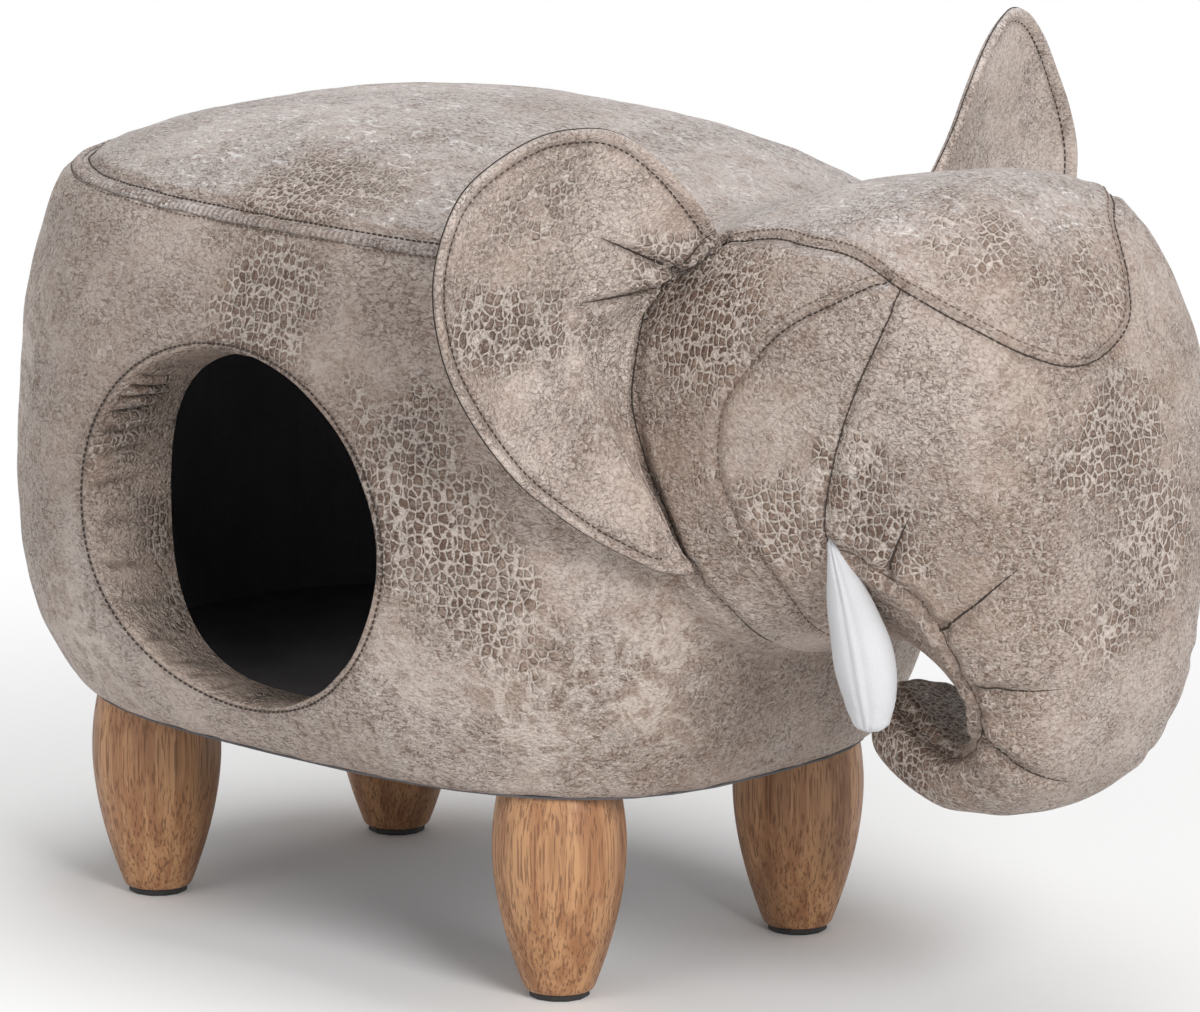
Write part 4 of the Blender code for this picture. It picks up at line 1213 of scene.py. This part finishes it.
def speckled(name, tone, second, scale, rough_low, metallic=0.0):
    """A hard plain material with fine speckle: thread, seam gaps, steel, plastic."""
    made = cloth(name, tone, second, scale, rough_low, 0.1)
    made.node_tree.nodes["Principled BSDF"].inputs["Metallic"].default_value = metallic
    return made


def dress(obj, material):
    obj.data.materials.clear()
    obj.data.materials.append(material)


# Camera, lights and floor
CAMERA_EYE = (2.7045, -2.8110, 1.0685)
CAMERA_AIM = (-0.0115, 0.0, 0.2193)
CAMERA_LENS = 245.97


def make_camera():
    camera = bpy.data.cameras.new("photo_camera")
    camera.sensor_width = 36.0
    camera.sensor_fit = "HORIZONTAL"
    camera.lens = CAMERA_LENS
    camera.clip_end = 60.0
    made = bpy.data.objects.new("photo_camera", camera)
    made.location = CAMERA_EYE
    made.rotation_euler = (Vector(CAMERA_AIM) - Vector(CAMERA_EYE)).to_track_quat("-Z", "Y").to_euler()
    bpy.context.scene.collection.objects.link(made)
    bpy.context.scene.camera = made


def make_lamp(name, place, size, watts, aim=(0, 0, 0.25)):
    lamp = bpy.data.lights.new(name, "AREA")
    lamp.shape = "DISK"
    lamp.size = size
    lamp.energy = watts
    made = bpy.data.objects.new(name, lamp)
    made.location = place
    made.rotation_euler = (Vector(aim) - Vector(place)).to_track_quat("-Z", "Y").to_euler()
    bpy.context.scene.collection.objects.link(made)


def seen_white(tree, plain, shown):
    """White where the camera, a mirror or glass looks at it, and plain light on the object otherwise."""
    path = add(tree, "ShaderNodeLightPath")
    either = calc(tree, "MAXIMUM", path.outputs["Is Camera Ray"], path.outputs["Is Glossy Ray"])
    either = calc(tree, "MAXIMUM", either, path.outputs["Is Transmission Ray"])
    return add(tree, "ShaderNodeMixShader", {0: either, 1: plain, 2: shown}).outputs[0]


def make_light():
    world = bpy.data.worlds.new("studio")
    bpy.context.scene.world = world
    world.use_nodes = True
    tree = world.node_tree
    tree.nodes.clear()
    soft = add(tree, "ShaderNodeBackground", {"Color": (1, 1, 1, 1), "Strength": 0.40})
    white = add(tree, "ShaderNodeBackground", {"Color": (1, 1, 1, 1), "Strength": 1.0})
    end = add(tree, "ShaderNodeOutputWorld")
    tree.links.new(seen_white(tree, soft.outputs[0], white.outputs[0]), end.inputs["Surface"])
    make_lamp("key", (2.2, -0.8, 1.3), 1.1, 45)
    make_lamp("fill", (-0.2, -2.4, 1.0), 1.6, 10)
    make_lamp("top", (-0.2, 0.1, 2.3), 1.2, 21)
    make_floor()


def make_floor():
    """A pale floor that keeps the shadow near the object and turns white further out."""
    corners = [(-9, -9, 0), (9, -9, 0), (9, 9, 0), (-9, 9, 0)]
    floor = object_from("studio_floor", corners, [(0, 1, 2, 3)], False)
    pale, tree, shader, place = new_material("pale_floor")
    shader["Base Color"].default_value = (0.92, 0.92, 0.92, 1)
    shader["Roughness"].default_value = 0.9
    plain = tree.nodes["Principled BSDF"].outputs[0]
    away = add(tree, "ShaderNodeVectorMath", {0: place}, operation="LENGTH").outputs["Value"]
    white = add(tree, "ShaderNodeEmission", {"Color": (1, 1, 1, 1), "Strength": 1.0}).outputs[0]
    beyond = add(tree, "ShaderNodeMixShader", {0: ramp(tree, away, 0.30, 0.95), 1: plain, 2: white})
    shown = seen_white(tree, plain, beyond.outputs[0])
    tree.links.new(shown, tree.nodes["Material Output"].inputs["Surface"])
    dress(floor, pale)


# Tones of the leather, and of its lighter ears and its shaded collar; each set's sheen tone is the painted
# sheen on the top
TAUPE = {
    "pale": (0.455, 0.375, 0.330, 1), "mid": (0.350, 0.270, 0.223, 1), "brown": (0.215, 0.126, 0.080, 1),
    "dark": (0.085, 0.041, 0.023, 1), "vein": (0.62, 0.54, 0.48, 1), "rub": (0.76, 0.72, 0.70, 1),
    "sheen": (0.460, 0.416, 0.404, 1),
}
LIGHT_TAUPE = {
    "pale": (0.590, 0.498, 0.446, 1), "mid": (0.460, 0.366, 0.314, 1), "brown": (0.235, 0.155, 0.112, 1),
    "dark": (0.090, 0.052, 0.036, 1), "vein": (0.67, 0.59, 0.53, 1), "rub": (0.78, 0.73, 0.71, 1),
    "sheen": (0.50, 0.45, 0.44, 1),
}
# A darker copy of the leather's tones: painted shade for the collar inside the doorway
SHADED_TAUPE = {
    "pale": (0.420, 0.330, 0.278, 1), "mid": (0.300, 0.215, 0.168, 1), "brown": (0.15, 0.098, 0.070, 1),
    "dark": (0.050, 0.030, 0.021, 1), "vein": (0.47, 0.40, 0.35, 1), "rub": (0.62, 0.57, 0.54, 1),
    "sheen": (0.36, 0.32, 0.30, 1),
}


def make_materials():
    groups = {"grain": grain_group(), "scale": scale_group()}
    return {
        "body": leather("worn_taupe_leather", groups, TAUPE, 0.30),
        "ear": leather("worn_ear_leather", groups, LIGHT_TAUPE, 0.22, 460.0),
        "collar": leather("collar_leather", groups, SHADED_TAUPE, 0.34, 400.0),
        "thread": speckled("brown_thread",
                           (0.050, 0.033, 0.025, 1), (0.025, 0.016, 0.012, 1), 2500.0, 0.7),
        "faint_thread": speckled("taupe_thread",
                                 (0.15, 0.10, 0.075, 1), (0.09, 0.06, 0.045, 1), 2500.0, 0.7),
        # Dark tubes of painted shade in seam gaps and creases
        "gap": speckled("seam_gap_shade", (0.045, 0.030, 0.023, 1), (0.02, 0.014, 0.011, 1), 900.0, 0.8),
        "wood": wood("oiled_brown_wood",
                     (0.490, 0.262, 0.124, 1), (0.325, 0.146, 0.062, 1), (0.105, 0.042, 0.018, 1)),
        "tusk": cloth("white_tusk_cloth",
                      (0.58, 0.58, 0.595, 1), (0.52, 0.52, 0.535, 1), 1400.0, 0.75, 0.35),
        "lining": cloth("black_felt_lining",
                        (0.120, 0.112, 0.120, 1), (0.080, 0.075, 0.080, 1), 700.0, 0.85, 0.3),
        "plywood": wood("birch_plywood",
                        (0.62, 0.48, 0.31, 1), (0.50, 0.37, 0.22, 1), (0.32, 0.21, 0.11, 1)),
        "steel": speckled("zinc_steel", (0.62, 0.62, 0.60, 1), (0.5, 0.5, 0.49, 1), 600.0, 0.30, 1.0),
        "plastic": speckled("black_glide_plastic",
                            (0.022, 0.02, 0.02, 1), (0.012, 0.011, 0.011, 1), 800.0, 0.5),
    }


def dress_frame(looks):
    """Materials of the CAD nodes that stay in view."""
    finish = {"plywood": "plywood", "zinc_steel": "steel",
              "black_plastic": "plastic", "black_lining": "lining"}
    for part in frame["record"]["subparts"]:
        look = finish.get(part["material_slot"])
        if look:
            dress(bpy.data.objects[part["node"]], looks[look])


def seam_rows(tree):
    """Every sewn line: paths laid on the skin as (points, normals)."""
    def on_head(keys, side):
        return settle(along(head_path(keys, side)), tree)

    rows = {}
    for name, points in (("seat", seat_seam_points()), ("door", door_seam_points())):
        rows[name] = [settle(along(points), tree)]
    for name, keys in (("crown", CROWN_SEAM), ("cheek", CHEEK_SEAM)):
        rows[name] = [on_head(keys[side], side) for side, _ in SIDES]
    alike = {"nape": NAPE_SEAM, "jaw": JAW_SEAM, "neck": NECK_SEAM, "ear_root": EAR_ROOT_SEAM}
    for name, keys in alike.items():
        rows[name] = [on_head(keys, side) for side, _ in SIDES]
    rows["darts"] = [on_head(keys, side) for side, _ in SIDES for keys in TRUNK_DARTS]
    return rows


def make_body(looks):
    skin = make_skin()
    rows = seam_rows(surface_of(skin.data))
    open_doorway(skin)
    shade = press_seams(skin.data, rows)
    points = coords(skin.data)
    soft = 0.0012 * wobble(points, 22, 1) + 0.0007 * wobble(points, 55, 2)
    along_door = (points[:, 0] - LEGS_X) / DOOR_HALF[0]
    from_door = np.hypot(along_door, (points[:, 2] - DOOR_LEVEL) / DOOR_HALF[1])
    soft = np.where(points[:, 1] < RIGHT_FLANK_Y, soft * smooth_step(1.03, 1.30, from_door), soft)
    set_coords(skin.data, points + normals(skin.data) * soft[:, None])
    # Darker along the seams: painted shade in the pressed grooves, with some dirt
    set_value(skin.data, "seam", shade)
    mark_patches(skin.data)
    dress(skin, looks["body"])
    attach(skin, "pouf_body")
    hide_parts("side_cover", "seat_cover", "head_cover", "trunk_cover", "wall_foam_left",
                "wall_foam_right", "seat_foam", "head_filling", "trunk_filling")
    return skin


def lay_on(rows, tree, offset=0.0, lift=0.0):
    """Rows laid again on the finished skin, moved sideways and lifted."""
    laid = []
    for spots, ups in rows:
        moved = beside(spots, ups, offset) if offset else spots
        spots, ups = settle(moved, tree)
        laid.append((spots + ups * lift, ups))
    return laid


# Sewing: how far rows lie apart, the folded edge's size, and how thick the dark tubes of painted shade in
# seam gaps and creases are
SECOND_ROW = 0.005
SEAT_SECOND_ROW = 0.0098
FOLD_OFFSET = 0.0062
FOLD_WIDTH = 0.0064
FOLD_PITCH = 0.0036
FOLD_RISE = 0.0015
SEAM_GAP = 0.00042
DART_GAP = 0.0007
JAW_GAP = 0.00032
PLEAT_GAP = 0.0006
RIM_GAP = 0.0003


def make_sewing(skin, looks, stitches):
    tree = surface_of(skin.data)
    rows = seam_rows(tree)
    sewn = lay_on(rows["seat"] + rows["crown"] + rows["cheek"], tree, 0, 0.0002)
    sewn += lay_on(rows["door"], tree, 0, 0.0006)
    faint = lay_on(rows["seat"], tree, SEAT_SECOND_ROW, 0.0003) + lay_on(rows["jaw"], tree, 0, 0.0001)
    for path, (side, _) in zip(rows["crown"], SIDES):
        faint += lay_on([path], tree, -side * SECOND_ROW, 0.0002)
    for path, (side, _) in zip(rows["nape"], SIDES):
        start = tuple(part[:NAPE_DOUBLE_POINTS] for part in path)
        rest = tuple(part[NAPE_DOUBLE_POINTS:] for part in path)
        sewn += lay_on([start], tree, 0, 0.0001)
        faint += lay_on([start], tree, side * SECOND_ROW, 0.0001)
        faint += lay_on([rest], tree, 0, 0.0001)
    fold_line = lay_on(rows["seat"], tree, FOLD_OFFSET)[0]
    band = make_ladder_band("seat_seam_fold", fold_line, FOLD_WIDTH, FOLD_PITCH, FOLD_RISE)
    # The folded edge gets most of the top's painted sheen and scratches, and no patches or marbling
    for label, value in (("wear_and_shade", 0.0), ("sheen_and_scratches", 0.8), ("marbled", 0.0)):
        set_value(band.data, label, np.full(len(band.data.vertices), value))
    dress(band, looks["body"])
    threads = make_stitches("body_stitching", stitches, sewn, looks["thread"], **LONG_THREAD)
    second = make_stitches("second_stitching", stitches, faint, looks["faint_thread"],
                           width=SECOND_THREAD_WIDTH)
    gaps = lay_on(rows["crown"] + rows["cheek"] + rows["neck"], tree, 0, -0.0002)
    gaps += lay_on(rows["ear_root"], tree)
    lines = make_gap_lines("seam_gaps", gaps, SEAM_GAP)
    dart_rows = lay_on(rows["darts"], tree, 0, -0.0002)
    darts = make_gap_lines("trunk_dart_gaps", dart_rows, DART_GAP, tapered=True)
    jaw = make_gap_lines("jaw_seam_gaps", lay_on(rows["jaw"], tree, 0, -0.0001), JAW_GAP)
    for piece in (lines, darts, jaw):
        dress(piece, looks["gap"])
    for piece in (threads, second, lines, darts, jaw, band):
        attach(piece, "pouf_body")


def dress_collar(looks):
    collar = make_collar()
    mark_patches(collar.data, COLLAR_WORN_PATCHES)
    dress(collar, looks["collar"])
    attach(collar, "pouf_body")
    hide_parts("doorway_collar")


def dress_ear(side, label, looks, stitches):
    ear, rows, creases, rim_seam = make_ear(side, label)
    sewn_lines = np.concatenate([spots for spots, _ in rows + creases])
    # Painted shade along the hem's stitched groove and in the pleats' creases
    set_value(ear.data, "seam", 2.6 * nearness(coords(ear.data), sewn_lines, 0.0019))
    patches = [((x, side * y, z), reach, strength) for (x, y, z), reach, strength in EAR_WORN_PATCHES]
    mark_patches(ear.data, patches)
    dress(ear, looks["ear"])
    sewing = make_stitches(f"ear_stitching_{label}", stitches, rows, looks["thread"], **LONG_THREAD)
    pleats = make_gap_lines(f"ear_pleat_lines_{label}", creases, PLEAT_GAP, tapered=True)
    edge = make_gap_lines(f"ear_rim_seam_{label}", [rim_seam], RIM_GAP)
    for piece in (pleats, edge):
        dress(piece, looks["gap"])
    for piece in (ear, sewing, pleats, edge):
        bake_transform(piece)
    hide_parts(f"ear_front_panel_{label}", f"ear_back_panel_{label}", f"ear_core_{label}")


def dress_tusk(side, label, looks):
    tusk = make_tusk(side, label)
    dress(tusk, looks["tusk"])
    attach(tusk, "pouf_body")
    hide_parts(f"tusk_{label}")


def make_legs(looks):
    for where in LEG_PLACES:
        leg = make_leg(where)
        dress(leg, looks["wood"])
        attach(leg, f"leg_{where}_body")
        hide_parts(f"leg_{where}")


def main():
    bpy.context.scene.view_settings.view_transform = "Standard"
    make_camera()
    make_light()
    looks = make_materials()
    dress_frame(looks)
    stitches = stitch_tree()
    skin = make_body(looks)
    make_sewing(skin, looks, stitches)
    dress_collar(looks)
    for side, label in SIDES:
        dress_ear(side, label, looks, stitches)
        dress_tusk(side, label, looks)
    make_legs(looks)


main()
